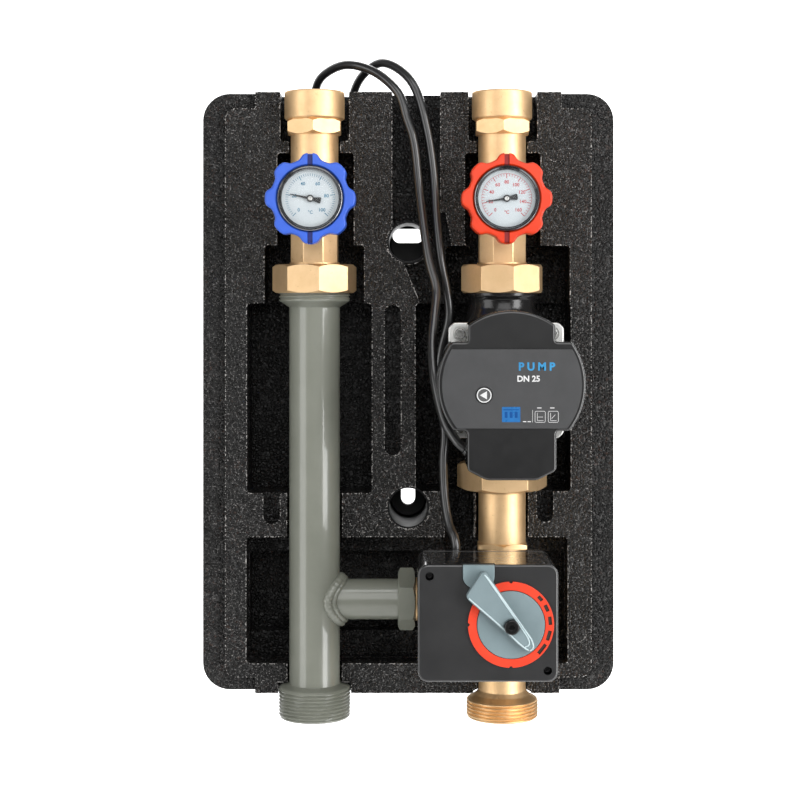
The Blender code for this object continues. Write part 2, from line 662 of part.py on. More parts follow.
def motor_housing():
    """Square flange with cut corners and the round can that holds the stator, open at its front end."""
    half, corner = FLANGE_HALF, 8.5 * MM
    outline = [(half, half - corner), (half - corner, half), (corner - half, half), (-half, half - corner),
               (-half, corner - half), (corner - half, -half), (half - corner, -half), (half, corner - half)]
    flange = prism(outline, 7 * MM, front(COLUMN_X, PUMP_Z, MOTOR_BACK), FACING)
    join(flange, rod(34 * MM, 26 * MM, front(COLUMN_X, PUMP_Z, MOTOR_BACK + 4 * MM), FACING, 24))
    cut(flange, rod(31 * MM, 40 * MM, front(COLUMN_X, PUMP_Z, MOTOR_BACK + 4 * MM), FACING, 24))
    cut(flange, rod(3.3 * MM, 20 * MM, front(COLUMN_X, PUMP_Z, 30 * MM), FACING, 16))
    for sx in (1, -1):
        for sz in (1, -1):
            hole = rod(2.9 * MM, 30 * MM, front(COLUMN_X + sx * SCREW_X, PUMP_Z + sz * SCREW_Z, 30 * MM),
                       FACING, 8)
            cut(flange, hole)
    part("motor_housing", "stainless", flange)


def pump_screws():
    """Socket head screws through the flange into the housing."""
    places = {"upper_left": (-1, 1), "upper_right": (1, 1), "lower_left": (-1, -1), "lower_right": (1, -1)}
    seat = MOTOR_BACK + 7 * MM + GAP
    profile = ((0, seat + 4.6 * MM), (3.6 * MM, seat + 4.6 * MM), (4.1 * MM, seat + 4.1 * MM),
               (4.1 * MM, seat),
               (2.5 * MM, seat), (2.5 * MM, 30 * MM), (0, 30 * MM))
    for name, (sx, sz) in places.items():
        x, z = COLUMN_X + sx * SCREW_X, PUMP_Z + sz * SCREW_Z
        screw = turned(profile, front(x, z), FACING, 12)
        cut(screw, prism(polygon(6, 4 * MM), 10 * MM, front(x, z, seat + 2 * MM), FACING))
        part(f"pump_screw_{name}", "screw_steel", screw)


def motor_inside():
    stator = ((16.2 * MM, 64 * MM), (30.6 * MM, 64 * MM), (30.6 * MM, 43 * MM), (16.2 * MM, 43 * MM))
    part("motor_stator", "copper_winding", turned(stator, front(COLUMN_X, PUMP_Z), FACING, 20, True))
    rotor = ((0, 66 * MM), (3 * MM, 66 * MM), (3 * MM, 62 * MM), (14.6 * MM, 62 * MM), (14.6 * MM, 45 * MM),
             (3 * MM, 45 * MM), (3 * MM, 12 * MM), (0, 12 * MM))
    pivot(part("pump_rotor", "stainless", turned(rotor, front(COLUMN_X, PUMP_Z), FACING, 16)),
          COLUMN_X, PIPE_Y, PUMP_Z)


def pump_impeller():
    """A round back plate with six slanted vanes and a hub on the rotor's shaft."""
    plate_r, vanes = 26 * MM, 6
    plate = rod(plate_r, 2.4 * MM, front(COLUMN_X, PUMP_Z, 22 * MM), FACING, 20)
    join(plate, rod(6.5 * MM, 10 * MM, front(COLUMN_X, PUMP_Z, 13.4 * MM), FACING, 12))
    for i in range(vanes):
        middle = 360 / vanes * i
        outer = arc(0, 0, 12 * MM, 5, 95, 4)
        inner = arc(0, 0, 10.4 * MM, 95, 5, 4)
        turn = math.radians(middle)
        vane = [(px + 6.5 * MM, py + 5 * MM) for px, py in outer + inner]
        outline = [(px * math.cos(turn) - py * math.sin(turn), px * math.sin(turn) + py * math.cos(turn))
                   for px, py in vane]
        join(plate, prism(outline, 8 * MM, front(COLUMN_X, PUMP_Z, 14.4 * MM), FACING))
    cut(plate, rod(3.3 * MM, 30 * MM, front(COLUMN_X, PUMP_Z, 5 * MM), FACING, 12))
    pivot(part("pump_impeller", "black_plastic", plate), COLUMN_X, PIPE_Y, PUMP_Z)


def head_outline(radius, half_neck, notch, skirt_foot, shrink=0.0):
    """Round head with a domed top, wings at the sides and a narrower skirt below."""
    r = radius - shrink
    neck, skirt = half_neck - shrink, 27 * MM - shrink
    wing_foot = -28 * MM + shrink
    dome = math.degrees(math.acos(neck / r))
    wing = math.degrees(math.asin(notch / r))
    low = math.degrees(math.asin(wing_foot / r))
    right = [
        *arc(0, 0, r, low, wing, 8), (neck + 1.2 * MM, notch), (neck, notch + 1.2 * MM),
        *arc(0, 0, r, dome, 90, 5)
    ]
    foot = [(15.4 * MM - shrink / 2, skirt_foot), (skirt, skirt_foot + 6 * MM),
            (skirt, wing_foot - 1.2 * MM),
            (skirt + 1.2 * MM, wing_foot)]
    right = foot + right
    left = [(-x, y) for x, y in reversed(right) if x > 1e-6]
    return right + left


BUTTON = (-16.9 * MM, -6.2 * MM)
HEAD = {"radius": 44.9 * MM, "half_neck": 26.3 * MM, "notch": 26 * MM, "skirt_foot": -58 * MM}


def pump_head():
    """The electronics housing: a shell open at its back, with a hole for the mode button."""
    wall = 2.6 * MM
    cover = prism(head_outline(**HEAD), HEAD_FRONT - HEAD_BACK, front(COLUMN_X, PUMP_Z, HEAD_BACK), FACING)
    bevel(cover, 0.5 * MM, 1, 60)
    inner = {**HEAD, "notch": HEAD["notch"] - wall, "skirt_foot": HEAD["skirt_foot"] + wall}
    hollow = prism(head_outline(**inner, shrink=wall), 50 * MM,
                   front(COLUMN_X, PUMP_Z, HEAD_FRONT - 53 * MM), FACING)
    cut(cover, hollow)
    cut(cover, rod(5.1 * MM, 20 * MM, front(COLUMN_X + BUTTON[0], PUMP_Z + BUTTON[1], HEAD_FRONT - 8 * MM),
                   FACING, 20))
    part("pump_head_cover", "black_plastic", robust(cover))
    button = turned(((0, 2.1 * MM), (4.3 * MM, 2.1 * MM), (4.7 * MM, 1.7 * MM), (4.7 * MM, -7 * MM),
                     (0, -7 * MM)),
                    front(COLUMN_X + BUTTON[0], PUMP_Z + BUTTON[1], HEAD_FRONT), FACING, 20)
    pivot(part("mode_button", "button_grey", button), COLUMN_X + BUTTON[0], PIPE_Y, PUMP_Z + BUTTON[1])


def control_label():
    r, top, foot = 42.4 * MM, 21.6 * MM, -26.4 * MM
    high, low = math.degrees(math.asin(top / r)), math.degrees(math.asin(foot / r))
    outline = arc(0, 0, r, low, high, 10) + arc(0, 0, r, 180 - high, 180 - low, 10)
    label = prism(outline, 0.9 * MM, front(COLUMN_X, PUMP_Z, HEAD_FRONT + GAP), FACING)
    cut(label, rod(5.1 * MM, 20 * MM, front(COLUMN_X + BUTTON[0], PUMP_Z + BUTTON[1], HEAD_FRONT - 8 * MM),
                   FACING, 20))
    part("control_label", "label_foil", label)


def gland(name, start, end):
    """A tapered strain relief from start, at the housing, to end, where the cable comes out."""
    start, end = Vector(start) * MM, Vector(end) * MM
    along = end - start
    turn = along.to_track_quat("Z", "Y").to_euler()
    length = along.length
    profile = ((0, length), (CABLE_R + 0.9 * MM, length), (CABLE_R + 1.5 * MM, length * 0.5),
               (CABLE_R + 2.4 * MM, 4 * MM), (CABLE_R + 2.4 * MM, 0), (0, 0))
    part(name, "black_cable", turned(profile, start, turn, 16))


def pump():
    pump_housing()
    motor_housing()
    pump_screws()
    motor_inside()
    pump_impeller()
    pump_head()
    control_label()


# Mixing valve

PORT_R = 15.7 * MM
ROTOR_R = 15 * MM


def mixing_valve():
    """Three-way brass body: a collar in the pump's nut, threaded foot, side port and rotor chamber."""
    profile = ((0, PUMP_FOOT_Z - GAP), (23.3 * MM, PUMP_FOOT_Z - GAP), (23.3 * MM, height(-59.6)),
               (16.6 * MM, height(-59.6)), (16.6 * MM, height(-65.5)), (PORT_R, height(-66.5)),
               (PORT_R, height(-199)),
               (17 * MM, height(-201)), (22 * MM, height(-205.4)), (G112_R, height(-206.5)),
               (G112_R, height(-214.5)),
               (22.6 * MM, BOTTOM_Z), (0, BOTTOM_Z))
    body = turned(profile, (COLUMN_X, PIPE_Y, 0))
    chamber = ((0, 20 * MM), (22 * MM, 20 * MM), (22 * MM, -15 * MM), (17 * MM, -20 * MM), (0, -20 * MM))
    join(body, turned(chamber, front(COLUMN_X, MIXING_Z), FACING, 24))
    port_start = 4.9 * MM
    join(body, rod(14.2 * MM, COLUMN_X - port_start - 5 * MM, (port_start, PIPE_Y, BRANCH_Z), SIDEWAYS, 20))
    cut(
        body,
        rod(ROTOR_R + 0.4 * MM, 60 * MM, front(COLUMN_X, MIXING_Z, -14 * MM), FACING, 24),
        rod(TAIL_BORE_R, 200 * MM, (COLUMN_X, PIPE_Y, -230 * MM)),
        rod(10.5 * MM, COLUMN_X, (0, PIPE_Y, BRANCH_Z), SIDEWAYS, 16),
    )
    part("mixing_valve_body", "brass", robust(body))
    cover = ((4.4 * MM, 27.5 * MM), (9 * MM, 27.5 * MM), (9 * MM, 24.5 * MM), (21.5 * MM, 24.5 * MM),
             (21.5 * MM, 20.3 * MM), (4.4 * MM, 20.3 * MM))
    part("mixing_valve_cover", "brass", turned(cover, front(COLUMN_X, MIXING_Z), FACING, 20, True))
    rotor = ((0, 90 * MM), (3.9 * MM, 90 * MM), (3.9 * MM, 19.8 * MM), (ROTOR_R, 19.8 * MM),
             (ROTOR_R, -13.5 * MM),
             (0, -13.5 * MM))
    slide = turned(rotor, front(COLUMN_X, MIXING_Z), FACING, 20)
    cut(slide, block((COLUMN_X - 5 * MM, PIPE_Y - 11 * MM, MIXING_Z - 20 * MM),
                     (COLUMN_X + 20 * MM, PIPE_Y + 11 * MM, MIXING_Z + 20 * MM)))
    pivot(part("mixing_rotor", "brass", slide), COLUMN_X, PIPE_Y, MIXING_Z)


# Actuator

BOX = (-57 * MM, 29 * MM, -35.4 * MM, 36.5 * MM)  # left, right, foot and top, from the knob's axis
BOX_CORNER = 6.5 * MM
BOX_SCREWS = ((-49.7 * MM, 29.3 * MM), (22.6 * MM, -28.5 * MM))
TAB_X, TAB_HALF, TAB_DROP = -19.7 * MM, 9.7 * MM, 12.5 * MM
DISC_R, RING_R = 20.7 * MM, 26.3 * MM
GEAR_TEETH, PINION_TEETH, TOOTH_MODULE = 32, 8, 0.9 * MM
GEAR_BACK, GEAR_DEPTH = 52 * MM, 6 * MM


def at_knob(depth, x=0.0, z=0.0):
    return front(COLUMN_X + x, MIXING_Z + z, depth)


def box_outline(inset=0.0):
    left, right, foot, top = BOX
    return rounded_box(right - left - 2 * inset, top - foot - 2 * inset, BOX_CORNER - inset, 4,
                       ((left + right) / 2, (foot + top) / 2))


def tab_outline(grow=0.0):
    top = BOX[3] + 2 * MM
    half = TAB_HALF + grow
    low = BOX[3] - TAB_DROP + 5.2 * MM
    return [(TAB_X + half, top), (TAB_X - half, top),
            *[(TAB_X + px, low + py * 0.8) for px, py in arc(0, 0, half, 180, 360, 8)]]


def actuator_housing():
    base = prism(box_outline(), 8 * MM, at_knob(BOX_BACK), FACING)
    cut(base, prism(box_outline(3 * MM), 20 * MM, at_knob(BOX_BACK + 3 * MM), FACING))
    cut(base, rod(4.4 * MM, 20 * MM, at_knob(BOX_BACK - 5 * MM), FACING, 20))
    part("actuator_base", "black_plastic", base)
    back = BOX_BACK + 8 * MM + GAP
    cover = prism(box_outline(), BOX_FRONT - back, at_knob(back), FACING)
    bevel(cover, 1.4 * MM, 2, 60)
    hollow_back = back - 2 * MM
    cut(cover, prism(box_outline(2.5 * MM), BOX_FRONT - 2.5 * MM - hollow_back, at_knob(hollow_back),
                     FACING))
    cut(cover, rod(DISC_R + 0.5 * MM, 20 * MM, at_knob(BOX_FRONT - 10 * MM), FACING, 32))
    recess_back = BOX_FRONT - TAB_SUNK - TAB_TRAVEL - 0.5 * MM
    cut(cover, prism(tab_outline(GAP), 20 * MM, at_knob(recess_back), FACING))
    for x, z in BOX_SCREWS:
        cut(cover, rod(2.6 * MM, 20 * MM, at_knob(BOX_FRONT - 2 * MM, x, z), FACING, 16))
    part("actuator_cover", "black_plastic", cover)


def scale_ring():
    """A flat red ring round the knob, with three notches and five windows on its right side."""
    ring = rod(RING_R, 1.3 * MM, at_knob(BOX_FRONT + GAP), FACING, 36)
    cut(ring, rod(DISC_R + 0.3 * MM, 10 * MM, at_knob(BOX_FRONT - 5 * MM), FACING, 32))
    for angle in (90, 180, 270):
        turn = math.radians(angle)
        cut(ring, rod(1.1 * MM, 10 * MM, at_knob(BOX_FRONT - 4 * MM, RING_R * math.cos(turn),
                                                 RING_R * math.sin(turn)),
                      FACING, 8))
    for angle, length in ((42, 3.6), (25, 4.4), (6, 5.2), (-16, 6.2), (-38, 7.2)):
        turn = math.radians(angle)
        window = block((-0.8 * MM, -length * MM / 2, -3 * MM), (0.8 * MM, length * MM / 2, 3 * MM))
        window.rotation_euler = (math.pi / 2, -turn, 0)
        window.location = at_knob(BOX_FRONT, 24 * MM * math.cos(turn), 24 * MM * math.sin(turn))
        cut(ring, window)
    part("red_scale_ring", "scale_red", ring)


def lever_outline():
    """A long blade, broad at its grip and round at its tip, seen from the front."""
    return [(x * MM, y * MM) for x, y in (
        (-15.8, 33.2), (-18.2, 33.0), (-27.4, 19.0), (-27.3, 17.4), (-25.8, 15.6), (-2.7, -4.7),
        (4.0, -11.2),
        (8.2, -14.4), (11.4, -15.5), (13.7, -14.4), (14.4, -11.6), (12.8, -7.4), (8.8, -1.7))]


def lever_knob():
    """The round disc and the lever on it are one moulding, pressed on the rotor's spindle."""
    knob = rod(DISC_R, 4.5 * MM, at_knob(BOX_FRONT - 2.4 * MM), FACING, 32)
    lever = prism(lever_outline(), 6.2 * MM, at_knob(BOX_FRONT + 1.8 * MM), FACING)
    join(knob, lever, rod(8 * MM, 12 * MM, at_knob(BOX_FRONT - 12 * MM), FACING, 24))
    cut(knob, rod(4.2 * MM, 20 * MM, at_knob(BOX_FRONT - 22 * MM), FACING, 20))
    cut(knob, rod(2.4 * MM, 40 * MM, at_knob(BOX_FRONT - 15 * MM), FACING, 16))
    pivot(part("mixing_lever_knob", "grey_blue_plastic", knob), COLUMN_X, PIPE_Y, MIXING_Z)
    seat = BOX_FRONT + 8 * MM + GAP
    screw = turned(((0, seat + 2.4 * MM), (3.9 * MM, seat + 2.4 * MM), (4.5 * MM, seat + 1.6 * MM),
                    (4.5 * MM, seat),
                    (2 * MM, seat), (2 * MM, seat - 9 * MM), (0, seat - 9 * MM)), at_knob(0), FACING, 20)
    cut(screw, prism(polygon(6, 3.4 * MM), 10 * MM, at_knob(seat + 0.8 * MM), FACING))
    pivot(part("knob_screw", "screw_steel", screw), COLUMN_X, PIPE_Y, MIXING_Z)


def release_button():
    """The grey tab that hangs over the top edge; pressed in, it frees the lever for hand use."""
    tab = prism(tab_outline(), 3.8 * MM, at_knob(BOX_FRONT - TAB_SUNK), FACING)
    left, right = TAB_X - 15 * MM, TAB_X + 15 * MM
    cut(tab, block((COLUMN_X + left, PIPE_Y - 120 * MM, MIXING_Z + BOX[3] - 0.1 * MM),
                   (COLUMN_X + right, PIPE_Y - 80 * MM, MIXING_Z + BOX[3] + 10 * MM)))
    pivot(part("release_button", "grey_blue_plastic", tab), COLUMN_X + TAB_X, PIPE_Y, MIXING_Z)


def gear_outline(teeth, turn=0.0):
    """Plain trapezoid teeth with some backlash."""
    pitch_r = TOOTH_MODULE * teeth / 2
    tip, root = pitch_r + 0.85 * TOOTH_MODULE, pitch_r - 1.2 * TOOTH_MODULE
    step = math.tau / teeth
    points = []
    for i in range(teeth):
        middle = turn + step * i
        for share, radius in ((-0.36, root), (-0.11, tip), (0.11, tip), (0.36, root)):
            angle = middle + share * step
            points.append((radius * math.cos(angle), radius * math.sin(angle)))
    return points


def gears():
    """The output gear sits on the spindle; the motor's pinion meshes with it to the left."""
    gear_r, pinion_r = TOOTH_MODULE * GEAR_TEETH / 2, TOOTH_MODULE * PINION_TEETH / 2
    gear = prism(gear_outline(GEAR_TEETH, math.pi / GEAR_TEETH), GEAR_DEPTH, at_knob(GEAR_BACK), FACING)
    join(gear, rod(7 * MM, 10 * MM, at_knob(GEAR_BACK - 2 * MM), FACING, 14))
    cut(gear, rod(4.2 * MM, 40 * MM, at_knob(40 * MM), FACING, 14))
    pivot(part("output_gear", "gear_white", gear), COLUMN_X, PIPE_Y, MIXING_Z)
    shift = -(gear_r + pinion_r + 0.25 * MM)
    pinion = prism(gear_outline(PINION_TEETH), GEAR_DEPTH - 1 * MM, at_knob(GEAR_BACK + 0.5 * MM, shift),
                   FACING)
    join(pinion, rod(1.5 * MM, 9 * MM, at_knob(GEAR_BACK + 1 * MM, shift), FACING, 12))
    pivot(part("drive_pinion", "gear_white", pinion), COLUMN_X + shift, PIPE_Y, MIXING_Z)
    motor_start = GEAR_BACK + GEAR_DEPTH + 1 * MM
    motor = rod(16 * MM, 20 * MM, at_knob(motor_start, -36 * MM), FACING, 20)
    cut(motor, rod(2 * MM, 8 * MM, at_knob(motor_start - 2 * MM, shift), FACING, 14))
    part("drive_motor", "screw_steel", motor)


def actuator():
    actuator_housing()
    scale_ring()
    lever_knob()
    release_button()
    gears()


# Cables, in millimetres. Each leaves its gland, climbs the middle of the shell, crosses its top edge
# and lies in a hank in the pocket of the shell's back.

PUMP_GLAND = ((50.5, -118, -44), (36, -118, -33))
ACTUATOR_GLAND = ((31, -86, -126), (31, -86, -102.4))
PUMP_ROUTE = (
    (35.6, -118, -32.7), (32.8, -118, -30.57), (28.6, -116.6, -25.6), (22.2, -112, -14), (16.6, -102, 11),
    (15.4, -91, 33), (17.2, -81, 52), (18.3, -73, 69), (13.0, -70, 91), (7.8, -68, 130), (4.0, -66, 165),
    (-1.2, -64, 182.7), (-7, -61, 200), (-23.4, -50, 215.4), (-43.1, -37, 221.6), (-59.5, -20, 216),
    (-65.2, -9, 205), (-66, -6.6, 188), (-66, -6.7, 124), (-73, -6.8, 101.5), (-78.7, -6.8, 86),
    (-80, -6.8, 73.3),
)
ACTUATOR_ROUTE = (
    (31, -86, -102.0), (31, -86, -98.6), (30, -84.4, -93.5), (27.0, -79, -87), (24.2, -73, -71),
    (23.0, -69, -46),
    (24.2, -66, -27), (21.2, -64, -8), (20.0, -63, 10), (22.0, -64, 28), (27.0, -65, 50), (25.6, -66, 68),
    (21.6, -66.5, 88), (18.6, -66, 117), (16.6, -64, 148), (12.5, -62, 175), (5.2, -58, 202),
    (-5.6, -49, 216.5),
    (-19.2, -37, 222.9), (-31.8, -22, 216), (-38.2, -9, 205), (-39, -6.6, 192), (-34, -6.7, 176),
    (-20, -6.8, 150), (-4, -6.8, 139), (12, -6.8, 128), (27, -6.8, 114.5), (38, -6.8, 103), (43, -6.8, 90),
    (44, -6.8, 73.3),
)


def cables():
    gland("pump_cable_gland", *PUMP_GLAND)
    gland("actuator_cable_gland", *ACTUATOR_GLAND)
    for name, route in (("pump", PUMP_ROUTE), ("actuator", ACTUATOR_ROUTE)):
        part(f"{name}_cable", "black_cable", tube(front_tube(route), CABLE_R))
        x, z = HANKS[name]
        hank = prism(rounded_box(HANK_W, HANK_L, HANK_W / 2 - 1 * MM, 6), HANK_T, (x, HANK_BACK_Y, z),
                     FACING)
        join(hank, rod(CABLE_R, STUB_TOP - 40 * MM, (x + STUB_X, HANK_BACK_Y - HANK_T / 2, z + 40 * MM),
                       sides=12))
        part(f"{name}_cable_hank", "black_cable", hank)


rear_shell()
mount_cups()
ball_valves()
unions()
return_pipe()
branch_nut()
pump()
mixing_valve()
actuator()
cables()
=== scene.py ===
import json
import math
import random

import bmesh
import bpy
from mathutils import Matrix, Vector


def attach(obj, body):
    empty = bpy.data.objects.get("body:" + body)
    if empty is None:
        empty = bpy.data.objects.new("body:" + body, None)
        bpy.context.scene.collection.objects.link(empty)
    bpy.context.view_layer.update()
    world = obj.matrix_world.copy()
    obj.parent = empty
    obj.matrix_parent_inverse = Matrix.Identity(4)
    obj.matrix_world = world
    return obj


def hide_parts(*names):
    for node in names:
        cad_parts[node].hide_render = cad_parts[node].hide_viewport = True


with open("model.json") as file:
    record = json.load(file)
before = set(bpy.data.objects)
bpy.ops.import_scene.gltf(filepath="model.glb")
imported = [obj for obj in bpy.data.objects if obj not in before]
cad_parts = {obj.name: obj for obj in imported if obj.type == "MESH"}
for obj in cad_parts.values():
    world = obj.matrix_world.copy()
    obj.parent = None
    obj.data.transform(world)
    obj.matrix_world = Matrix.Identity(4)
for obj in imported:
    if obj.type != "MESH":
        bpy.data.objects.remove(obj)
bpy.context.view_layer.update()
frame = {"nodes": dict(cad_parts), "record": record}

# Sizes are in millimetres until a mesh becomes an object; the row frame is in metres.

MM = 0.001
PIPE_Y = -62.0
COLUMN_X = 62.5
COLUMNS = {"return": -COLUMN_X, "supply": COLUMN_X}
BOTTOM_Z = -216.0
STEM_Z = 126.0
UNION_FACE_Z = 75.0
PUMP_Z, PUMP_FOOT_Z = 10.0, -55.0
MIXING_Z, BRANCH_Z = -137.0, -138.0
G112_R = 23.85
G112_LEAD_R = 22.6
THREAD_PITCH = 2.309
CABLE_R = 3.0
CABLE_LENGTH = 1500.0
HEAD_FRONT = 103.0
BOX_BACK, BOX_FRONT = 30.0, 93.0
GAP = 0.3
FAR = 230.0  # cutters that go right through a column reach this far

# Placing. Each of these takes a shape drawn along its own z to its place.


def front(x, z, depth=0.0):
    """Local z comes out of the wall, local y goes up."""
    return Matrix.Translation((x, PIPE_Y - depth, z)) @ Matrix.Rotation(math.pi / 2, 4, "X")


def upright(x, z=0.0):
    return Matrix.Translation((x, PIPE_Y, z))


def sideways(x, z):
    """Local z goes to the right, local x goes down."""
    return Matrix.Translation((x, PIPE_Y, z)) @ Matrix.Rotation(math.pi / 2, 4, "Y")


# Outlines and profiles


def arc(cx, cy, radius, start, end, steps):
    """Points on an arc, with both ends, angles in degrees."""
    angles = [math.radians(start + (end - start) * i / steps) for i in range(steps + 1)]
    return [(cx + radius * math.cos(a), cy + radius * math.sin(a)) for a in angles]


def polygon(sides, across_flats, turn=0.0):
    radius = across_flats / 2 / math.cos(math.pi / sides)
    angles = [turn + math.tau * i / sides for i in range(sides)]
    return [(radius * math.cos(a), radius * math.sin(a)) for a in angles]


def rounded_box(width, height, radius, steps=6, centre=(0, 0)):
    cx, cy = centre
    x, y = width / 2 - radius, height / 2 - radius
    points = []
    for sx, sy, start in ((1, 1, 0), (-1, 1, 90), (-1, -1, 180), (1, -1, 270)):
        points += arc(cx + sx * x, cy + sy * y, radius, start, start + 90, steps)
    return points


def softened(points, radius, steps=3, closed=True):
    """The same line with each corner rounded off."""
    result = []
    count = len(points)
    for i, point in enumerate(points):
        here = Vector(point)
        back, ahead = Vector(points[i - 1]) - here, Vector(points[(i + 1) % count]) - here
        open_end = not closed and i in (0, count - 1)
        if open_end or min(back.length, ahead.length) < 1e-6 or back.angle(ahead) > math.radians(172):
            result.append(point)
            continue
        reach = min(radius, back.length * 0.45, ahead.length * 0.45)
        start, end = here + back.normalized() * reach, here + ahead.normalized() * reach
        for j in range(steps + 1):
            t = j / steps
            p = start * (1 - t) ** 2 + here * 2 * t * (1 - t) + end * t**2
            result.append((p.x, p.y))
    return result


# Solids


def placed(data):
    """An object of that data in the scene."""
    obj = bpy.data.objects.new(data.name, data)
    bpy.context.scene.collection.objects.link(obj)
    return obj


def object_from(bm):
    mesh = bpy.data.meshes.new("shape")
    bm.to_mesh(mesh)
    bm.free()
    return placed(mesh)


def solid_from(bm, place=Matrix.Identity(4)):
    bm.transform(Matrix.Scale(MM, 4) @ place)
    bmesh.ops.recalc_face_normals(bm, faces=bm.faces)
    return object_from(bm)


def turned(profile, place, steps=64, bored=False, soft=0.3, threads=()):
    """A profile of (radius, z) turned about z. Each thread, (from z, to z, depth), is a helix cut into it."""
    line = softened(profile, soft, 2, closed=bored) if soft else list(profile)
    if threads:
        line = with_thread_points(line)
    bm = bmesh.new()
    rings = []
    for radius, z in line:
        if radius < 1e-6:
            rings.append([bm.verts.new((0, 0, z))] * steps)
            continue
        ring = []
        for i in range(steps):
            angle = math.tau * i / steps
            r = radius - sum(thread_cut(radius, z, angle, *thread) for thread in threads)
            ring.append(bm.verts.new((r * math.cos(angle), r * math.sin(angle), z)))
        rings.append(ring)
    for low, high in zip(rings, rings[1:] + rings[:1] if bored else rings[1:]):
        for i in range(steps):
            j = (i + 1) % steps
            corners = list(dict.fromkeys((low[i], low[j], high[j], high[i])))
            if len(corners) > 2:
                bm.faces.new(corners)
    return solid_from(bm, place)


THREAD_SAMPLES = 8
THREAD_FADE = 1.2


def on_thread(radius):
    return radius > G112_R - 0.5


def with_thread_points(line):
    """Adds points down the outside, close enough together to show the thread."""
    result = []
    for a, b in zip(line, line[1:] + line[:1]):
        result.append(a)
        if abs(a[0] - b[0]) < 0.01 and on_thread(a[0]) and abs(a[1] - b[1]) > 5:
            count = int(abs(a[1] - b[1]) / THREAD_PITCH * THREAD_SAMPLES)
            result += [(a[0], a[1] + (b[1] - a[1]) * i / count) for i in range(1, count)]
    return result


def thread_cut(radius, z, angle, low, high, depth):
    """How deep the helix is at that height and angle."""
    if radius < G112_R - 0.5 or not low <= z <= high:
        return 0
    wave = 0.5 - 0.5 * math.cos(math.tau * (z / THREAD_PITCH - angle / math.tau))
    return depth * wave * max(0, min(1, (z - low) / THREAD_FADE, (high - z) / THREAD_FADE))


def prism(outline, low, high, place):
    bm = bmesh.new()
    foot = [bm.verts.new((x, y, low)) for x, y in outline]
    head = [bm.verts.new((x, y, high)) for x, y in outline]
    bm.faces.new(foot[::-1])
    bm.faces.new(head)
    for i in range(len(outline)):
        j = (i + 1) % len(outline)
        bm.faces.new((foot[i], foot[j], head[j], head[i]))
    return solid_from(bm, place)


def rod(radius, low, high, place, steps=48):
    return turned(((0, low), (radius, low), (radius, high), (0, high)), place, steps, soft=0)


def block(low, high):
    bm = bmesh.new()
    bmesh.ops.create_cube(bm, size=1)
    size = [h - l for l, h in zip(low, high)]
    centre = [(h + l) / 2 for l, h in zip(low, high)]
    return solid_from(bm, Matrix.Translation(centre) @ Matrix.Diagonal((*size, 1)))


def evaluated_mesh(obj):
    graph = bpy.context.evaluated_depsgraph_get()
    return bpy.data.meshes.new_from_object(obj.evaluated_get(graph))


def settle(obj):
    """Applies the modifiers."""
    mesh = evaluated_mesh(obj)
    old = obj.data
    obj.modifiers.clear()
    obj.data = mesh
    bpy.data.meshes.remove(old)
    return obj


def meshed(curve_object):
    """The same shape as a mesh."""
    mesh = evaluated_mesh(curve_object)
    bpy.data.objects.remove(curve_object)
    return placed(mesh)


def combine(obj, others, operation):
    for other in others:
        modifier = obj.modifiers.new("Boolean", "BOOLEAN")
        modifier.object = other
        modifier.operation = operation
        modifier.solver = "EXACT"
        settle(obj)
        bpy.data.objects.remove(other)
    return obj


def cut(obj, *others):
    return combine(obj, others, "DIFFERENCE")


def join(obj, *others):
    return combine(obj, others, "UNION")


def common(obj, other):
    return combine(obj, [other], "INTERSECT")


def cleaned(obj):
    """Merges what a Boolean leaves in flat faces, so that a bevel runs evenly."""
    bm = bmesh.new()
    bm.from_mesh(obj.data)
    bmesh.ops.remove_doubles(bm, verts=bm.verts, dist=0.002 * MM)
    bmesh.ops.dissolve_limit(bm, angle_limit=math.radians(0.5), verts=bm.verts, edges=bm.edges)
    bm.to_mesh(obj.data)
    bm.free()
    return obj


def bevelled(obj, width, segments=2, angle=32, sharp_miter=False):
    modifier = obj.modifiers.new("Bevel", "BEVEL")
    modifier.width = width * MM
    modifier.segments = segments
    modifier.limit_method = "ANGLE"
    modifier.angle_limit = math.radians(angle)
    modifier.miter_outer = "MITER_SHARP" if sharp_miter or segments <= 2 else "MITER_ARC"
    return settle(obj)


def swept(lines, radius, sides, cyclic=False):
    """Round tubes along lines of points; a point may have a radius factor as a fourth number."""
    curve = bpy.data.curves.new("tube", "CURVE")
    curve.dimensions = "3D"
    curve.bevel_depth = radius * MM
    curve.bevel_resolution = sides
    curve.use_fill_caps = not cyclic
    for line in lines:
        spline = curve.splines.new("POLY")
        spline.points.add(len(line) - 1)
        spline.use_cyclic_u = cyclic
        for (x, y, z, *factor), target in zip(line, spline.points):
            target.co = (x * MM, y * MM, z * MM, 1)
            target.radius = factor[0] if factor else 1
    return placed(curve)


def merged(*parts):
    """One object from several, which go."""
    bm = bmesh.new()
    for part in parts:
        bm.from_mesh(part.data)
        bpy.data.objects.remove(part)
    return object_from(bm)


def piece(obj, name, look, body="assembly", replaced=(), angle=33):
    """Names a piece, smooths it up to the angle, gives it its material and body, and hides the nodes it
    replaces.
    """
    obj.name = obj.data.name = name
    if obj.type == "MESH":
        obj.data.polygons.foreach_set("use_smooth", [True] * len(obj.data.polygons))
        obj.data.set_sharp_from_angle(angle=math.radians(angle))
        modifier = obj.modifiers.new("Weighted normals", "WEIGHTED_NORMAL")
        modifier.keep_sharp = True
    obj.data.materials.clear()
    obj.data.materials.append(LOOKS[look])
    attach(obj, body)
    if replaced:
        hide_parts(*replaced)
    return obj


# Materials


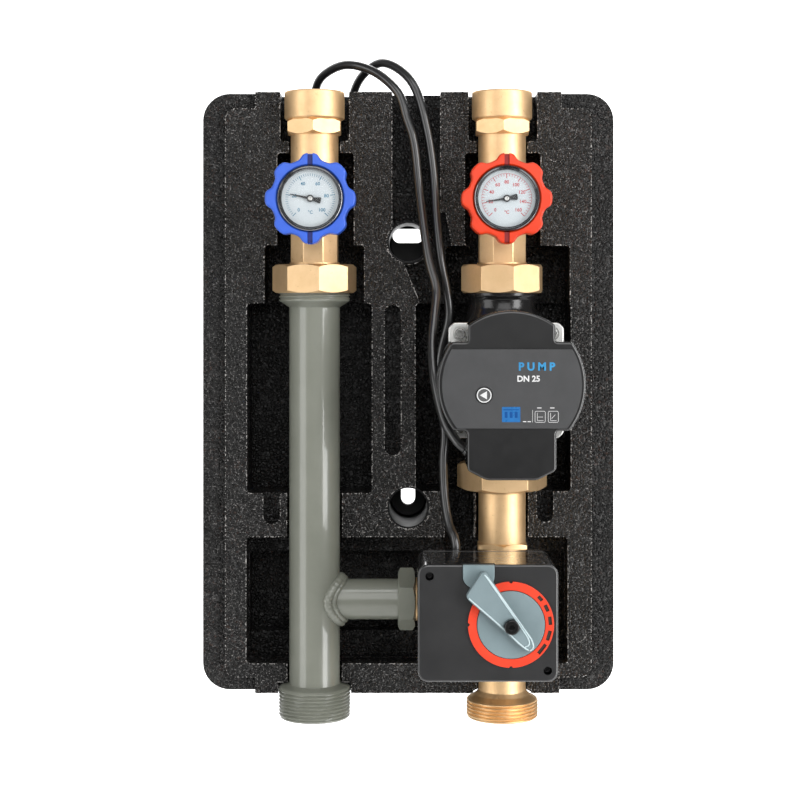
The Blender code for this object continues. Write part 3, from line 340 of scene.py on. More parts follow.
class Look:
    """A material whose colour, gloss and relief come from nodes."""

    def __init__(self, name):
        self.material = bpy.data.materials.new(name)
        self.material.use_nodes = True
        self.nodes, self.links = self.material.node_tree.nodes, self.material.node_tree.links
        self.nodes.clear()
        self.shader = self.add("BsdfPrincipled")
        self.add("OutputMaterial", Surface=self.shader.outputs["BSDF"])
        self.where = self.add("TexCoord").outputs["Object"]

    def feed(self, node, **inputs):
        """Sets or links inputs; an underscore stands for a space in a name."""
        for key, value in inputs.items():
            socket = node.inputs[key.replace("_", " ")]
            if isinstance(value, bpy.types.NodeSocket):
                self.links.new(value, socket)
            else:
                socket.default_value = (*value, 1) if isinstance(value, tuple) else value

    def add(self, kind, **inputs):
        node = self.nodes.new("ShaderNode" + kind)
        self.feed(node, **inputs)
        return node

    def noise(self, size, detail, rough=0.55):
        """Noise whose lumps are about this many millimetres across."""
        node = self.add("TexNoise", Vector=self.where, Scale=1 / (size * MM), Detail=detail, Roughness=rough)
        return node.outputs["Fac"]

    def ramp(self, value, *stops):
        """A colour between two that are given with their positions."""
        node = self.add("ValToRGB", Fac=value)
        for element, (position, colour) in zip(node.color_ramp.elements, stops):
            element.position = position
            element.color = (*colour, 1)
        return node.outputs["Color"]

    def mix(self, share, first, second):
        """first where share is 0 and second where it is 1; either may be a colour or a link."""
        node = self.add("Mix")
        node.data_type = "RGBA"
        self.feed(node, Factor=share, A=first, B=second)
        return node.outputs["Result"]

    def spread(self, value, low, high):
        """Noise spread over a range."""
        node = self.add("MapRange", Value=value, From_Min=0.25, From_Max=0.75, To_Min=low, To_Max=high)
        return node.outputs["Result"]

    def mask(self, value, black_at, white_at):
        """0 on one side of a narrow range of a value, 1 on the other."""
        node = self.add("MapRange", Value=value, From_Min=black_at, From_Max=white_at)
        node.interpolation_type = "SMOOTHSTEP"
        return node.outputs["Result"]

    def merge(self, operation, result, *values):
        """The product of several masks, or the largest of them."""
        for value in values:
            node = self.add("Math")
            node.operation = operation
            self.links.new(result, node.inputs[0])
            self.links.new(value, node.inputs[1])
            result = node.outputs["Value"]
        return result

    def bump(self, *layers):
        """Stacks height layers of (value, depth in millimetres, strength)."""
        normal = {}
        for value, depth, strength in layers:
            node = self.add("Bump", Height=value, Distance=depth * MM, Strength=strength, **normal)
            normal = {"Normal": node.outputs["Normal"]}
        self.feed(self.shader, **normal)


def plain_look(name, dark, light, roughness, mottle=12.0, grain=0.5, grain_depth=0.02, **sockets):
    """Colour that drifts between two tones, uneven gloss, and a fine grain."""
    look = Look(name)
    look.feed(look.shader, Base_Color=look.ramp(look.noise(mottle, 4), (0.35, dark), (0.65, light)),
              Roughness=look.spread(look.noise(mottle / 3, 5), *roughness), **sockets)
    look.bump((look.noise(grain, 2), grain_depth, 0.6))
    return look.material


BEAD = 2.5
# Where the foam's painted glints reach: from the ledge depth out to the front, and near the back and the
# sides; deeper in, their absence is painted shade.
SHELL_FRONT_Y, LEDGE_Y = -0.0615, -0.049
BACK_Y, NEAR_BACK_Y = -0.001, -0.004
SIDE_X, INSIDE_X = 0.1370, 0.1355


def foam_look(name, glint, glint_share):
    """Moulded black foam: beads whose seams carry broken painted glints, fewer on the set-back rim and none
    deep in the recesses, which stay dark as painted shade, and a few brown flecks.
    """
    look = Look(name)
    wander = look.add("TexNoise", Vector=look.where, Scale=1 / (BEAD * MM))
    shift = look.add("VectorMath")
    shift.operation = "MULTIPLY_ADD"
    look.links.new(wander.outputs["Color"], shift.inputs[0])
    shift.inputs[1].default_value = (1.6 * MM, 1.6 * MM, 1.6 * MM)
    look.links.new(look.where, shift.inputs[2])
    cells = look.add("TexVoronoi", Vector=shift.outputs["Vector"], Scale=1 / (BEAD * MM))
    cells.feature = "DISTANCE_TO_EDGE"
    seam = cells.outputs["Distance"]
    place = look.add("SeparateXYZ", Vector=look.where).outputs
    # Painted shade: the glint seams fade out in the recesses and on the set-back rim; deep is the base tone
    # there, outer the tone where the glints reach.
    painted_glint_reach = look.merge("MAXIMUM", look.mask(place["Y"], LEDGE_Y, SHELL_FRONT_Y),
                      look.mask(place["Y"], NEAR_BACK_Y, BACK_Y),
                      look.mask(place["X"], INSIDE_X, SIDE_X), look.mask(place["X"], -INSIDE_X, -SIDE_X))
    fleck = look.noise(1.0, 2)
    patch = look.noise(34, 3)
    deep = look.ramp(patch, (0.3, (0.0046, 0.0045, 0.0044)), (0.7, (0.0082, 0.0079, 0.0077)))
    outer = look.ramp(patch, (0.3, (0.0042, 0.0041, 0.0040)), (0.7, (0.0080, 0.0077, 0.0075)))
    brown = look.merge("MULTIPLY", look.mask(look.noise(1.7, 2), 0.60, 0.68), look.mask(patch, 0.44, 0.60))
    tinted = look.mix(brown, look.mix(painted_glint_reach, deep, outer), (0.034, 0.018, 0.013))
    # Painted highlights: seam lines in the light glint colour, where the fleck noise picks them.
    glints = look.mask(fleck, 1 - glint_share - 0.08, 1 - glint_share + 0.08)
    lines = look.merge("MULTIPLY", look.mask(seam, 0.10, 0.02), glints, painted_glint_reach)
    look.feed(look.shader, Base_Color=look.mix(lines, tinted, glint),
              Roughness=look.spread(look.noise(5, 4), 0.20, 0.36), Specular_IOR_Level=0.38)
    look.bump((look.mask(seam, 0.0, 0.30), 0.9, 0.9), (fleck, 0.3, 0.8))
    return look.material


def brass_look(name, blast, dark, light, roughness):
    """Forged brass, blasted all over; the machined faces have less grain."""
    look = Look(name)
    colour = look.ramp(look.noise(9, 4), (0.3, dark), (0.7, light))
    stain = look.ramp(look.noise(3, 5, 0.7), (0.62, (0, 0, 0)), (0.8, (1, 1, 1)))
    look.feed(look.shader, Base_Color=look.mix(stain, colour, (0.52, 0.34, 0.16)), Metallic=1.0,
              Roughness=look.spread(look.noise(2.2, 4), *roughness))
    look.bump((look.noise(0.7, 2), blast, 0.7))
    return look.material


def glass_look(name):
    look = Look(name)
    tint = look.ramp(look.noise(20, 2), (0.3, (0.16, 0.17, 0.18)), (0.7, (0.20, 0.21, 0.22)))
    look.feed(look.shader, Base_Color=tint, Roughness=look.spread(look.noise(8, 3), 0.02, 0.05), Alpha=0.05)
    return look.material


HANDLE_GLOSS = {"grain": 0.6, "grain_depth": 0.015, "Specular_IOR_Level": 0.3, "Coat_Weight": 0.25,
                "Coat_Roughness": 0.12}
PLAIN_LOOKS = {  # dark and light tone, lowest and highest roughness, and what differs from the usual
    "mount_plastic": ((0.003, 0.003, 0.003), (0.006, 0.006, 0.006), (0.34, 0.44),
                      {"grain": 1.5, "Specular_IOR_Level": 0.2}),
    "ptfe": ((0.82, 0.82, 0.80), (0.90, 0.90, 0.88), (0.35, 0.5), {}),
    "chrome": ((0.55, 0.56, 0.57), (0.62, 0.63, 0.64), (0.08, 0.16), {"Metallic": 1.0, "grain_depth": 0.002}),
    "blue_plastic": ((0.028, 0.095, 0.50), (0.034, 0.110, 0.56), (0.34, 0.44), HANDLE_GLOSS),
    # Painted shade: a darker copy of the blue, for strips that fill the handle's slots.
    "slot_shadow_blue": ((0.006, 0.012, 0.11), (0.009, 0.016, 0.15), (0.4, 0.5), {}),
    "red_plastic": ((0.60, 0.032, 0.004), (0.66, 0.040, 0.006), (0.34, 0.44), HANDLE_GLOSS),
    # Painted shade: a darker copy of the red, for strips that fill the handle's slots.
    "slot_shadow_red": ((0.20, 0.004, 0.006), (0.26, 0.006, 0.008), (0.4, 0.5), {}),
    "dial_white": ((0.52, 0.57, 0.60), (0.56, 0.61, 0.63), (0.35, 0.45), {"grain_depth": 0.003}),
    "pointer_black": ((0.008, 0.008, 0.009), (0.014, 0.014, 0.015), (0.3, 0.4), {}),
    "dial_blue": ((0.012, 0.13, 0.23), (0.02, 0.17, 0.28), (0.4, 0.5), {}),
    "dial_red": ((0.42, 0.02, 0.03), (0.50, 0.03, 0.04), (0.4, 0.5), {}),
    "dark_chrome": ((0.22, 0.22, 0.23), (0.28, 0.28, 0.29), (0.14, 0.20),
                    {"Metallic": 1.0, "grain_depth": 0.002}),
    "grey_paint": ((0.182, 0.190, 0.156), (0.204, 0.212, 0.176), (0.32, 0.42),
                   {"mottle": 25, "grain": 2.4, "grain_depth": 0.03, "Coat_Weight": 0.7,
                    "Coat_Roughness": 0.06}),
    "black_cast_iron": ((0.006, 0.006, 0.006), (0.012, 0.011, 0.011), (0.14, 0.24),
                        {"mottle": 10, "grain": 1.8, "grain_depth": 0.16}),
    "stainless": ((0.62, 0.62, 0.60), (0.70, 0.70, 0.68), (0.30, 0.38),
                  {"Metallic": 1.0, "mottle": 6, "grain_depth": 0.002}),
    "screw_steel": ((0.24, 0.24, 0.23), (0.34, 0.34, 0.33), (0.18, 0.30),
                    {"Metallic": 1.0, "mottle": 4, "grain_depth": 0.004}),
    "copper_winding": ((0.50, 0.20, 0.08), (0.66, 0.30, 0.13), (0.3, 0.45),
                       {"Metallic": 0.9, "mottle": 2, "grain": 0.8, "grain_depth": 0.2}),
    "black_plastic": ((0.0022, 0.0022, 0.0024), (0.0040, 0.0040, 0.0043), (0.30, 0.38),
                      {"mottle": 18, "grain": 0.45, "grain_depth": 0.01, "Coat_Weight": 0.9,
                       "Coat_Roughness": 0.06}),
    "actuator_plastic": ((0.0135, 0.0135, 0.014), (0.018, 0.018, 0.0185), (0.32, 0.40),
                         {"mottle": 25, "grain_depth": 0.01, "Coat_Weight": 1.0, "Coat_Roughness": 0.05}),
    "label_foil": ((0.036, 0.0365, 0.0378), (0.042, 0.0425, 0.044), (0.42, 0.52),
                   {"mottle": 9, "grain": 0.4, "grain_depth": 0.01}),
    "button_grey": ((0.058, 0.058, 0.059), (0.068, 0.068, 0.069), (0.4, 0.5), {}),
    "print_white": ((0.56, 0.56, 0.56), (0.64, 0.64, 0.64), (0.4, 0.5), {}),
    "print_blue": ((0.018, 0.19, 0.40), (0.024, 0.23, 0.46), (0.4, 0.5), {}),
    "display_blue": ((0.010, 0.105, 0.30), (0.014, 0.13, 0.36), (0.25, 0.35), {}),
    "display_dark": ((0.006, 0.055, 0.20), (0.008, 0.07, 0.25), (0.2, 0.3), {}),
    "grey_blue_plastic": ((0.160, 0.212, 0.226), (0.178, 0.234, 0.250), (0.38, 0.48),
                          {"mottle": 15, "grain": 0.6}),
    # Painted highlight: a lighter copy of the lever's grey blue, for lines along its edges.
    "lever_rim_highlight": ((0.42, 0.52, 0.54), (0.47, 0.57, 0.59), (0.3, 0.4), {"mottle": 15}),
    "screw_black": ((0.004, 0.004, 0.004), (0.007, 0.007, 0.007), (0.16, 0.24), {"grain_depth": 0.004}),
    "scale_red": ((0.66, 0.044, 0.016), (0.72, 0.052, 0.020), (0.42, 0.52), {"Specular_IOR_Level": 0.3}),
    "gear_white": ((0.74, 0.74, 0.70), (0.82, 0.82, 0.78), (0.4, 0.5), {}),
    "black_cable": ((0.0050, 0.0050, 0.0054), (0.0085, 0.0085, 0.0090), (0.34, 0.44),
                    {"mottle": 14, "grain": 0.8, "grain_depth": 0.015, "Coat_Weight": 0.8,
                     "Coat_Roughness": 0.10}),
    "wire_brown": ((0.11, 0.045, 0.02), (0.14, 0.06, 0.028), (0.35, 0.45), {}),
    "wire_blue": ((0.02, 0.12, 0.42), (0.03, 0.15, 0.48), (0.35, 0.45), {}),
    "wire_green": ((0.10, 0.36, 0.05), (0.13, 0.42, 0.07), (0.35, 0.45), {}),
    "bare_copper": ((0.80, 0.38, 0.20), (0.90, 0.46, 0.26), (0.25, 0.35), {"Metallic": 1.0}),
    "window_dark": ((0.018, 0.012, 0.009), (0.03, 0.02, 0.014), (0.45, 0.55), {}),
}
LOOKS = {}


def make_looks():
    """One material for each slot, and some for small details."""
    # Each foam's colour here is that of its painted glints on the bead seams.
    LOOKS["foam"] = foam_look("foam", (0.210, 0.202, 0.194), 0.42)
    # Painted highlight: a foam with light seams, for the ridges along the shell's edges and hole rims.
    LOOKS["foam_edge_highlight"] = foam_look("foam_edge_highlight", (0.46, 0.44, 0.42), 0.62)
    LOOKS["brass"] = brass_look("brass", 0.028, (0.80, 0.545, 0.290), (0.90, 0.635, 0.355), (0.47, 0.56))
    LOOKS["machined_brass"] = brass_look("machined_brass", 0.010, (0.80, 0.555, 0.300), (0.88, 0.625, 0.360),
                                         (0.46, 0.54))
    LOOKS["clear_glass"] = glass_look("clear_glass")
    for name, (dark, light, roughness, options) in PLAIN_LOOKS.items():
        LOOKS[name] = plain_look(name, dark, light, roughness, **options)


# Camera, light and surroundings

CAMERA = (-2.87, -1182.0, 61.4)
FOCAL = 75.56
SHIFT = (-0.005, -0.125)
MIDDLE = (0, -0.06, 0)
LIGHTS = {  # place, target and size in metres, power in watts
    "key_right": ((1.45, -1.25, 0.05), MIDDLE, (0.8, 2.1), 40),
    "fill_left": ((-1.5, -1.2, 0.05), MIDDLE, (1.0, 2.1), 18),
    "front": ((0.25, -2.3, 0.95), MIDDLE, (1.8, 1.6), 20),
    "behind": ((0.5, 1.4, 0.9), (0, 0, 0), (1.4, 0.8), 9),
    "top_front": ((0.15, -1.2, 1.6), MIDDLE, (1.4, 0.5), 8),
}
ROOM, BACKDROP_Y, FLOOR_Z = 4, 1.6, -1.1


def set_camera():
    data = bpy.data.cameras.new("camera")
    data.lens = FOCAL
    data.sensor_width = 36
    data.shift_x, data.shift_y = SHIFT
    data.clip_end = 100
    camera = placed(data)
    camera.location = Vector(CAMERA) * MM
    camera.rotation_euler = (math.pi / 2, 0, 0)
    bpy.context.scene.camera = camera


def area_light(name, place, target, size, power):
    """A rectangular softbox in metres that faces its target."""
    data = bpy.data.lights.new(name, "AREA")
    data.shape = "RECTANGLE"
    data.size, data.size_y = size
    data.energy = power
    light = placed(data)
    light.location = place
    light.rotation_euler = (Vector(target) - Vector(place)).to_track_quat("-Z", "Y").to_euler()


def stage_plane(name, corners, grey, glow=0.0):
    look = Look(name)
    tone = look.ramp(look.noise(400, 2), (0.3, (grey,) * 3), (0.7, (grey * 0.99,) * 3))
    look.feed(look.shader, Base_Color=tone, Roughness=0.9, Emission_Color=(1, 1, 1), Emission_Strength=glow)
    bm = bmesh.new()
    bm.faces.new([bm.verts.new(c) for c in corners])
    obj = object_from(bm)
    obj.name = name
    obj.data.materials.append(look.material)


def set_light():
    world = bpy.data.worlds.new("studio")
    world.use_nodes = True
    background = world.node_tree.nodes["Background"]
    background.inputs["Color"].default_value = (1.0, 1.0, 1.0, 1)
    background.inputs["Strength"].default_value = 0.14
    bpy.context.scene.world = world
    bpy.context.scene.view_settings.view_transform = "Standard"
    for name, facts in LIGHTS.items():
        area_light(name, *facts)
    wall = [(x, BACKDROP_Y, z) for x, z in ((-ROOM, -1), (ROOM, -1), (ROOM, ROOM), (-ROOM, ROOM))]
    ground = [(x, y, FLOOR_Z) for x, y in ((-ROOM, -ROOM), (ROOM, -ROOM), (ROOM, ROOM), (-ROOM, ROOM))]
    stage_plane("backdrop", wall, 0.9, 1.0)
    stage_plane("floor", ground, 0.85)


# Cables

PUMP_GLAND = ((50.5, -118, -44), (36, -118, -33))
ACTUATOR_GLAND = ((31, -86, -126), (31, -86, -102.4))
PUMP_ROUTE = (
    (35.6, -118, -32.7), (32.8, -118, -30.57), (28.6, -116.6, -25.6), (22.2, -112, -14), (16.6, -102, 11),
    (15.4, -91, 33), (17.2, -81, 52), (18.3, -73, 69), (13.0, -70, 91), (7.8, -68, 130), (4.0, -66, 165),
    (-1.2, -64, 182.7), (-7, -61, 200), (-23.4, -50, 215.4), (-43.1, -37, 221.6), (-59.5, -20, 216),
    (-65.2, -9, 205), (-66, -6.6, 188), (-66, -6.7, 124), (-73, -6.8, 101.5), (-78.7, -6.8, 86), (-80, -6.8,
                                                                                                  73.3),
)
ACTUATOR_ROUTE = (
    (31, -86, -102.0), (31, -86, -98.6), (30, -84.4, -93.5), (27.0, -79, -87), (24.2, -73, -71), (23.0, -69,
                                                                                                  -46),
    (24.2, -66, -27), (21.2, -64, -8), (20.0, -63, 10), (22.0, -64, 28), (27.0, -65, 50), (25.6, -66, 68),
    (21.6, -66.5, 88), (18.6, -66, 117), (16.6, -64, 148), (12.5, -62, 175), (5.2, -58, 202), (-5.6, -49,
                                                                                               216.5),
    (-19.2, -37, 222.9), (-31.8, -22, 216), (-38.2, -9, 205), (-39, -6.6, 192), (-34, -6.7, 176),
    (-20, -6.8, 150), (-4, -6.8, 139), (12, -6.8, 128), (27, -6.8, 114.5), (38, -6.8, 103), (43, -6.8, 90),
    (44, -6.8, 73.3),
)
HANK_CENTRES = {"pump": (-62.0, 6.0), "actuator": (62.0, 6.0)}
HANK_W, HANK_L = 48.0, 130.0
HANK_LAYERS = (-3.75, -9.85)  # y of the strands against the wall and of those in front of them
STRAND_STEP = 6.6
STRAND_ROOM = 6.2


def smooth_route(route):
    """The same curve as the model's, with a point about every 4 mm."""
    points = [Vector(p) for p in route]
    ends = [2 * points[0] - points[1], *points, 2 * points[-1] - points[-2]]
    smooth = []
    for a, b, c, d in zip(ends, ends[1:], ends[2:], ends[3:]):
        count = max(1, round((c - b).length / 4))
        for i in range(count):
            t = i / count
            bend = (2 * a - 5 * b + 4 * c - d) * t**2 + (3 * b - a - 3 * c + d) * t**3
            smooth.append(0.5 * (2 * b + (c - a) * t + bend))
    return smooth


def stadium(share, width, length):
    """A point on a long loop with round ends. It starts at the upper left and goes down."""
    radius = width / 2
    run = length - width
    around = math.pi * radius
    along = share * 2 * (run + around)
    if along < run:
        return -radius, run / 2 - along
    along -= run
    if along < around:
        angle = math.pi + along / radius
        return radius * math.cos(angle), -run / 2 + radius * math.sin(angle)
    along -= around
    if along < run:
        return radius, -run / 2 + along
    angle = (along - run) / radius
    return radius * math.cos(angle), run / 2 + radius * math.sin(angle)


def hank(centre, samples=72, change_from=0.72):
    """Turns of the hank: outer and inner against the wall, then inner and outer in front."""
    cx, cz = centre
    turns = ((0, 0), (1, 0), (1, 1), (0, 1), (0, 1))  # (strands in from the outside, layer)
    points = []
    for (inner, layer), (next_inner, next_layer) in zip(turns, turns[1:]):
        for i in range(samples):
            share = i / samples
            change = max(0.0, min(1.0, (share - change_from) / (1 - change_from)))
            change = change * change * (3 - 2 * change)
            inset = (inner + (next_inner - inner) * change) * 2 * STRAND_STEP
            y = HANK_LAYERS[layer] + (HANK_LAYERS[next_layer] - HANK_LAYERS[layer]) * change
            x, z = stadium(share, HANK_W - STRAND_ROOM - inset, HANK_L - STRAND_ROOM - inset)
            points.append(Vector((cx + x, y, cz + z)))
    return points


def shortened(points, length):
    """The first part of a line, of that length."""
    kept, gone = [points[0]], 0.0
    for a, b in zip(points, points[1:]):
        step = (b - a).length
        if gone + step >= length:
            return [*kept, a + (b - a) * ((length - gone) / step)]
        kept.append(b)
        gone += step
    return kept


def gland(start, end, ribs=5, rib_end=6):
    """A ribbed strain relief."""
    along = Vector(end) - Vector(start)
    length = along.length
    place = Matrix.Translation(Vector(start)) @ along.to_track_quat("Z", "Y").to_matrix().to_4x4()
    step = (length - rib_end) / ribs
    profile = [(0, length), (CABLE_R, length), (CABLE_R + 0.6, length)]
    for i in range(ribs):
        z, out = length - 1.6 - i * step, CABLE_R + 0.9 + 0.28 * i
        profile += [(out, z), (out, z - 1.3), (out - 0.7, z - 1.6), (out - 0.6, z - step + 0.3)]
    profile += [(CABLE_R + 2.4, 4), (CABLE_R + 2.4, 0), (0, 0)]
    return turned(profile, place, 40, soft=0.25)


def wire_ends(name, end, direction):
    """Three stripped cores at the cable's cut end."""
    made = []
    across = direction.cross(Vector((0, 1, 0))).normalized()
    for i, (core, look) in enumerate((("brown", "wire_brown"), ("blue", "wire_blue"),
                                      ("earth", "wire_green"))):
        side = across * (i - 1) * 1.7
        points = [end - direction * 3 + side * 0.6, end + direction * 4 + side,
                  end + direction * 11 + side * 1.25]
        made.append(piece(swept([points], 0.95, 4), f"{name}_{core}_core", look))
        copper = swept([[points[-1] - direction, points[-1] + direction * 5]], 0.5, 4)
        made.append(piece(copper, f"{name}_{core}_copper", "bare_copper"))
    return made


def hank_tie(x, z):
    """A flat band round one side of the hank."""
    wall_side, front_side = HANK_LAYERS
    half_x, half_y = (STRAND_STEP + 6.4) / 2 + 0.35, (wall_side - front_side + 6.4) / 2 + 0.3
    place = Matrix.Translation((x, (wall_side + front_side) / 2, z))
    band = prism(rounded_box(2 * half_x + 0.9, 2 * half_y + 0.7, 3.6), -2, 2, place)
    return cut(band, prism(rounded_box(2 * half_x, 2 * half_y, 3.2), -9, 9, place))


def make_cable(name, route, gland_ends):
    path = shortened(smooth_route(route) + hank(HANK_CENTRES[name]), CABLE_LENGTH)
    cable = swept([path], CABLE_R, 5)
    ends = wire_ends(f"{name}_cable", path[-1], (path[-1] - path[-2]).normalized())
    piece(cable, f"{name}_cable_run", "black_cable", replaced=(f"{name}_cable", f"{name}_cable_hank"))
    cx, cz = HANK_CENTRES[name]
    side = (HANK_W - STRAND_ROOM) / 2 - STRAND_STEP / 2
    ties = [piece(hank_tie(x, z), f"{name}_hank_tie_{label}", "pointer_black")
            for label, x, z in (("left", cx - side, cz - 4), ("right", cx + side, cz + 6))]
    piece(gland(*gland_ends), f"{name}_strain_relief", "black_cable", replaced=(f"{name}_cable_gland",))


# Insulation shell

SHELL_W, SHELL_H, SHELL_CORNER, RIM_STEP = 275.0, 400.0, 18.0, 5.0
SHELL_D = -PIPE_Y
UPPER_HOLE_Z, LOWER_HOLE_Z, HOLE_R = 100.0, -77.0, 14.3
CUP_R, CUP_BORE_R = 14.0, 12.9
SLOT_END = 5.5  # the corner radius of the grooves with round ends
FIELD = (  # sides and corners of the raised field inside the rim, as (x sign, z sign, points)
    (1, 1, ((122, 183), (120.2, 187.2), (116, 189), (102, 189), (102, 200))),
    (-1, 1, ((102, 200), (102, 189), (116, 189), (120.2, 187.2), (122, 183))),
    (-1, -1, ((122, 184), (120.2, 188.2), (116, 190), (102, 190), (102, 200.6))),
    (1, -1, ((100.5, 200.6), (100.5, 190), (116, 190), (120.2, 188.2), (122, 184))),
)
CABLE_CHANNEL = ((-4, 88), (7, 61), (7, 50), (30, 50), (30, 92), (25, 120), (-6, 120))
BACK_GROOVES = (
    ((-66, 215), (-66, 120), (-79, 86), (-80, 50)),
    ((-39, 215), (-39, 192), (-34, 176), (-20, 150), (12, 128), (27, 114.5), (38, 103), (43, 90), (44, 50)),
)
EJECTOR_MARKS = ((-29.5, -83.0, 10.5), (99.8, 161.4, 8.0), (112.0, -160.0, 7.0))  # x, z, radius


def recess(x0, x1, z0, z1, depth, corner=2.6):
    outline = rounded_box(x1 - x0, z1 - z0, corner, 4)
    return prism(outline, -depth, 20, front((x0 + x1) / 2, (z0 + z1) / 2))


def groove(x, radius, z0, z1):
    return rod(radius, z0, z1, upright(x), 40)


def shell_hollows():
    """Recesses and round beds: each side from the top down, then the bottom and the middle."""
    left, right = COLUMNS.values()
    return [
        recess(-85.6, -39.3, 167, 225, 26),
        groove(left, 17.3, 150, 175),
        recess(-87.7, -36.1, 97.6, 159.8, 32),
        recess(-96.2, -29.2, 57.8, 98.4, 36),
        recess(-107.9, -24.1, -67.7, 59.4, 40),
        groove(left, 18.6, -105, 80),
        recess(-97.1, -85.4, -88.4, -60, 9, SLOT_END),
        recess(39.9, 86.3, 167, 225, 26),
        groove(right, 17.3, 150, 175),
        recess(37.5, 88.5, 97, 159.8, 32),
        recess(25.4, 108.0, 40, 98, 38),
        recess(4.6, 108.6, -66.5, 59, 44),
        groove(right, 17.6, -105, -50),
        recess(85.4, 96.9, -87, -50, 9, SLOT_END),
        recess(24, 44, -110, -50, 22),
        recess(-108.3, 106.5, -181.3, -96.5, 20),
        recess(-107.5, 105.7, -164, -108.7, 40),
        recess(-107.9, 106.1, -180.5, -160, 27),
        groove(left, 18.4, -230, -170),
        groove(left, 24.6, -229, -193.4),
        groove(right, 17.3, -230, -170),
        groove(right, 19.6, -229, -198),
        recess(-16, -4.7, -42.7, 58.4, 9, SLOT_END),
        recess(-11, 21.5, 108, 225, 18),
        prism(CABLE_CHANNEL, -14, 20, front(0, 0)),
        *[rod(HOLE_R, -90, 20, front(0, z), 56) for z in (UPPER_HOLE_Z, LOWER_HOLE_Z)],
    ]


def ribbon(points, width):
    """The outline of a band of even width along a line of (x, z) points."""
    sides = ([], [])
    for i, (x, z) in enumerate(points):
        before, after = points[max(i - 1, 0)], points[min(i + 1, len(points) - 1)]
        along = Vector((after[0] - before[0], after[1] - before[1])).normalized() * width / 2
        sides[0].append((x - along.y, z + along.x))
        sides[1].append((x + along.y, z - along.x))
    return sides[0] + sides[1][::-1]


def chains(edges):
    """Joins edges that share ends into lines of points in millimetres."""
    left = set(edges)
    lines = []
    while left:
        first = min(left, key=lambda e: e.index)
        left.remove(first)
        line = list(first.verts)
        for end in (-1, 0):
            while (step := next((e for e in line[end].link_edges if e in left), None)) is not None:
                left.remove(step)
                other = step.other_vert(line[end])
                line.insert(0 if end == 0 else len(line), other)
        lines.append([v.co / MM for v in line])
    return lines


def even_points(line, step):
    """Points along a line at about this distance from each other."""
    points = [line[0]]
    for a, b in zip(line, line[1:]):
        count = max(1, round((b - a).length / step))
        points += [a + (b - a) * i / count for i in range(1, count + 1)]
    return points


def beaded_lines(name, lines, radius, step=1.3, seed=5):
    """Thin uneven ridges along lines, half sunk in the foam, in a light look: painted highlights along edges.
    """
    rng = random.Random(seed)
    uneven = [[(*point, rng.uniform(0.35, 1.15)) for point in even_points(line, step)] for line in lines]
    piece(meshed(swept(uneven, radius, 1)), name, "foam_edge_highlight", angle=80)


def shell_edges(shell):
    """The lines where the front of the shell turns into a wall."""
    bm = bmesh.new()
    bm.from_mesh(shell.data)
    bm.edges.index_update()
    found = []
    for edge in bm.edges:
        if len(edge.link_faces) != 2:
            continue
        level = all(abs(v.co.y / MM - PIPE_Y) < 0.05 for v in edge.verts)
        ways = sorted(face.normal.y for face in edge.link_faces)
        if level and ways[0] < -0.9 and abs(ways[1]) < 0.35:
            found.append(edge)
    lines = [line for line in chains(found) if sum((b - a).length for a, b in zip(line, line[1:])) > 4]
    bm.free()
    return lines


def circle(x, z, radius, start, end):
    return [Vector((x + px, PIPE_Y, z + pz)) for px, pz in arc(0, 0, radius, start, end, 36)]


def rear_shell():
    at_back = front(0, 0, PIPE_Y)
    shell = prism(rounded_box(SHELL_W, SHELL_H - 1, SHELL_CORNER, 10), 0, SHELL_D - RIM_STEP, at_back)
    join(shell, prism([(s * x, t * z) for s, t, pairs in FIELD for x, z in pairs], 1, SHELL_D, at_back))
    cut(shell, *shell_hollows())
    for x, z in HANK_CENTRES.values():
        cut(shell, prism(rounded_box(HANK_W + 4, HANK_L + 8, 20, 8), -10, 14, front(x, z, PIPE_Y)))
    cut(shell, *[prism(ribbon(line, 10), -10, 13, at_back) for line in BACK_GROOVES])
    cleaned(shell)
    # Painted highlights: light ridges along the front edges of the recesses, and on the lower arcs of the
    # ejector marks.
    edge_lines = [[p + Vector((0, 0.15, 0)) for p in line] for line in shell_edges(shell)]
    beaded_lines("shell_edge_highlights", edge_lines, 0.42)
    beaded_lines("shell_ejector_mark_highlights", [circle(*slot_shade, 190, 350) for slot_shade in EJECTOR_MARKS], 0.3)
    bevelled(shell, 1.0, 2, 40)
    piece(shell, "insulation_shell", "foam", replaced=("rear_insulation_shell",), angle=38)


def mount_cups():
    wide = rounded_box(21.6, 9.9, 4.9, 8, (0, 6.3))
    tall = [*arc(0, 0, 4.9, 180, 360, 14), (4.9, 11.4), (-4.9, 11.4)]
    for name, z, slot in (("upper", UPPER_HOLE_Z, wide), ("lower", LOWER_HOLE_Z, tall)):
        profile = ((CUP_R, -0.6), (CUP_R, 1 - SHELL_D), (0, 1 - SHELL_D), (0, 6 - SHELL_D),
                   (CUP_BORE_R - 1, 6 - SHELL_D), (CUP_BORE_R, 7 - SHELL_D), (CUP_BORE_R, -0.6), (CUP_R,
                                                                                                  -0.6))
        cup = cut(turned(profile, front(0, z), 72), prism(slot, -70, -50, front(0, z)))
        piece(cup, f"{name}_mount_cup", "mount_plastic", replaced=(f"{name}_wall_mount_cup",))
        # Painted highlight: a light ridge round all but the top of each hole's front edge.
        beaded_lines(f"{name}_mount_rim_highlight", [circle(0, z, HOLE_R + 0.6, 150, 395)], 0.35)


# Ball valves

G1_BORE_R, TAIL_BORE_R = 15.1, 11.0
SEAT_FAR = 13.6
UNION_AF, UNION_BORE_R, COLLAR_R, NECK_R = 52.0, 24.15, 23.3, 16.6
HANDLE_FRONT, HANDLE_LOBES = 55.0, 8
DIAL_BACK = 46.4
DIAL_START, DIAL_SWEEP = 225, 270


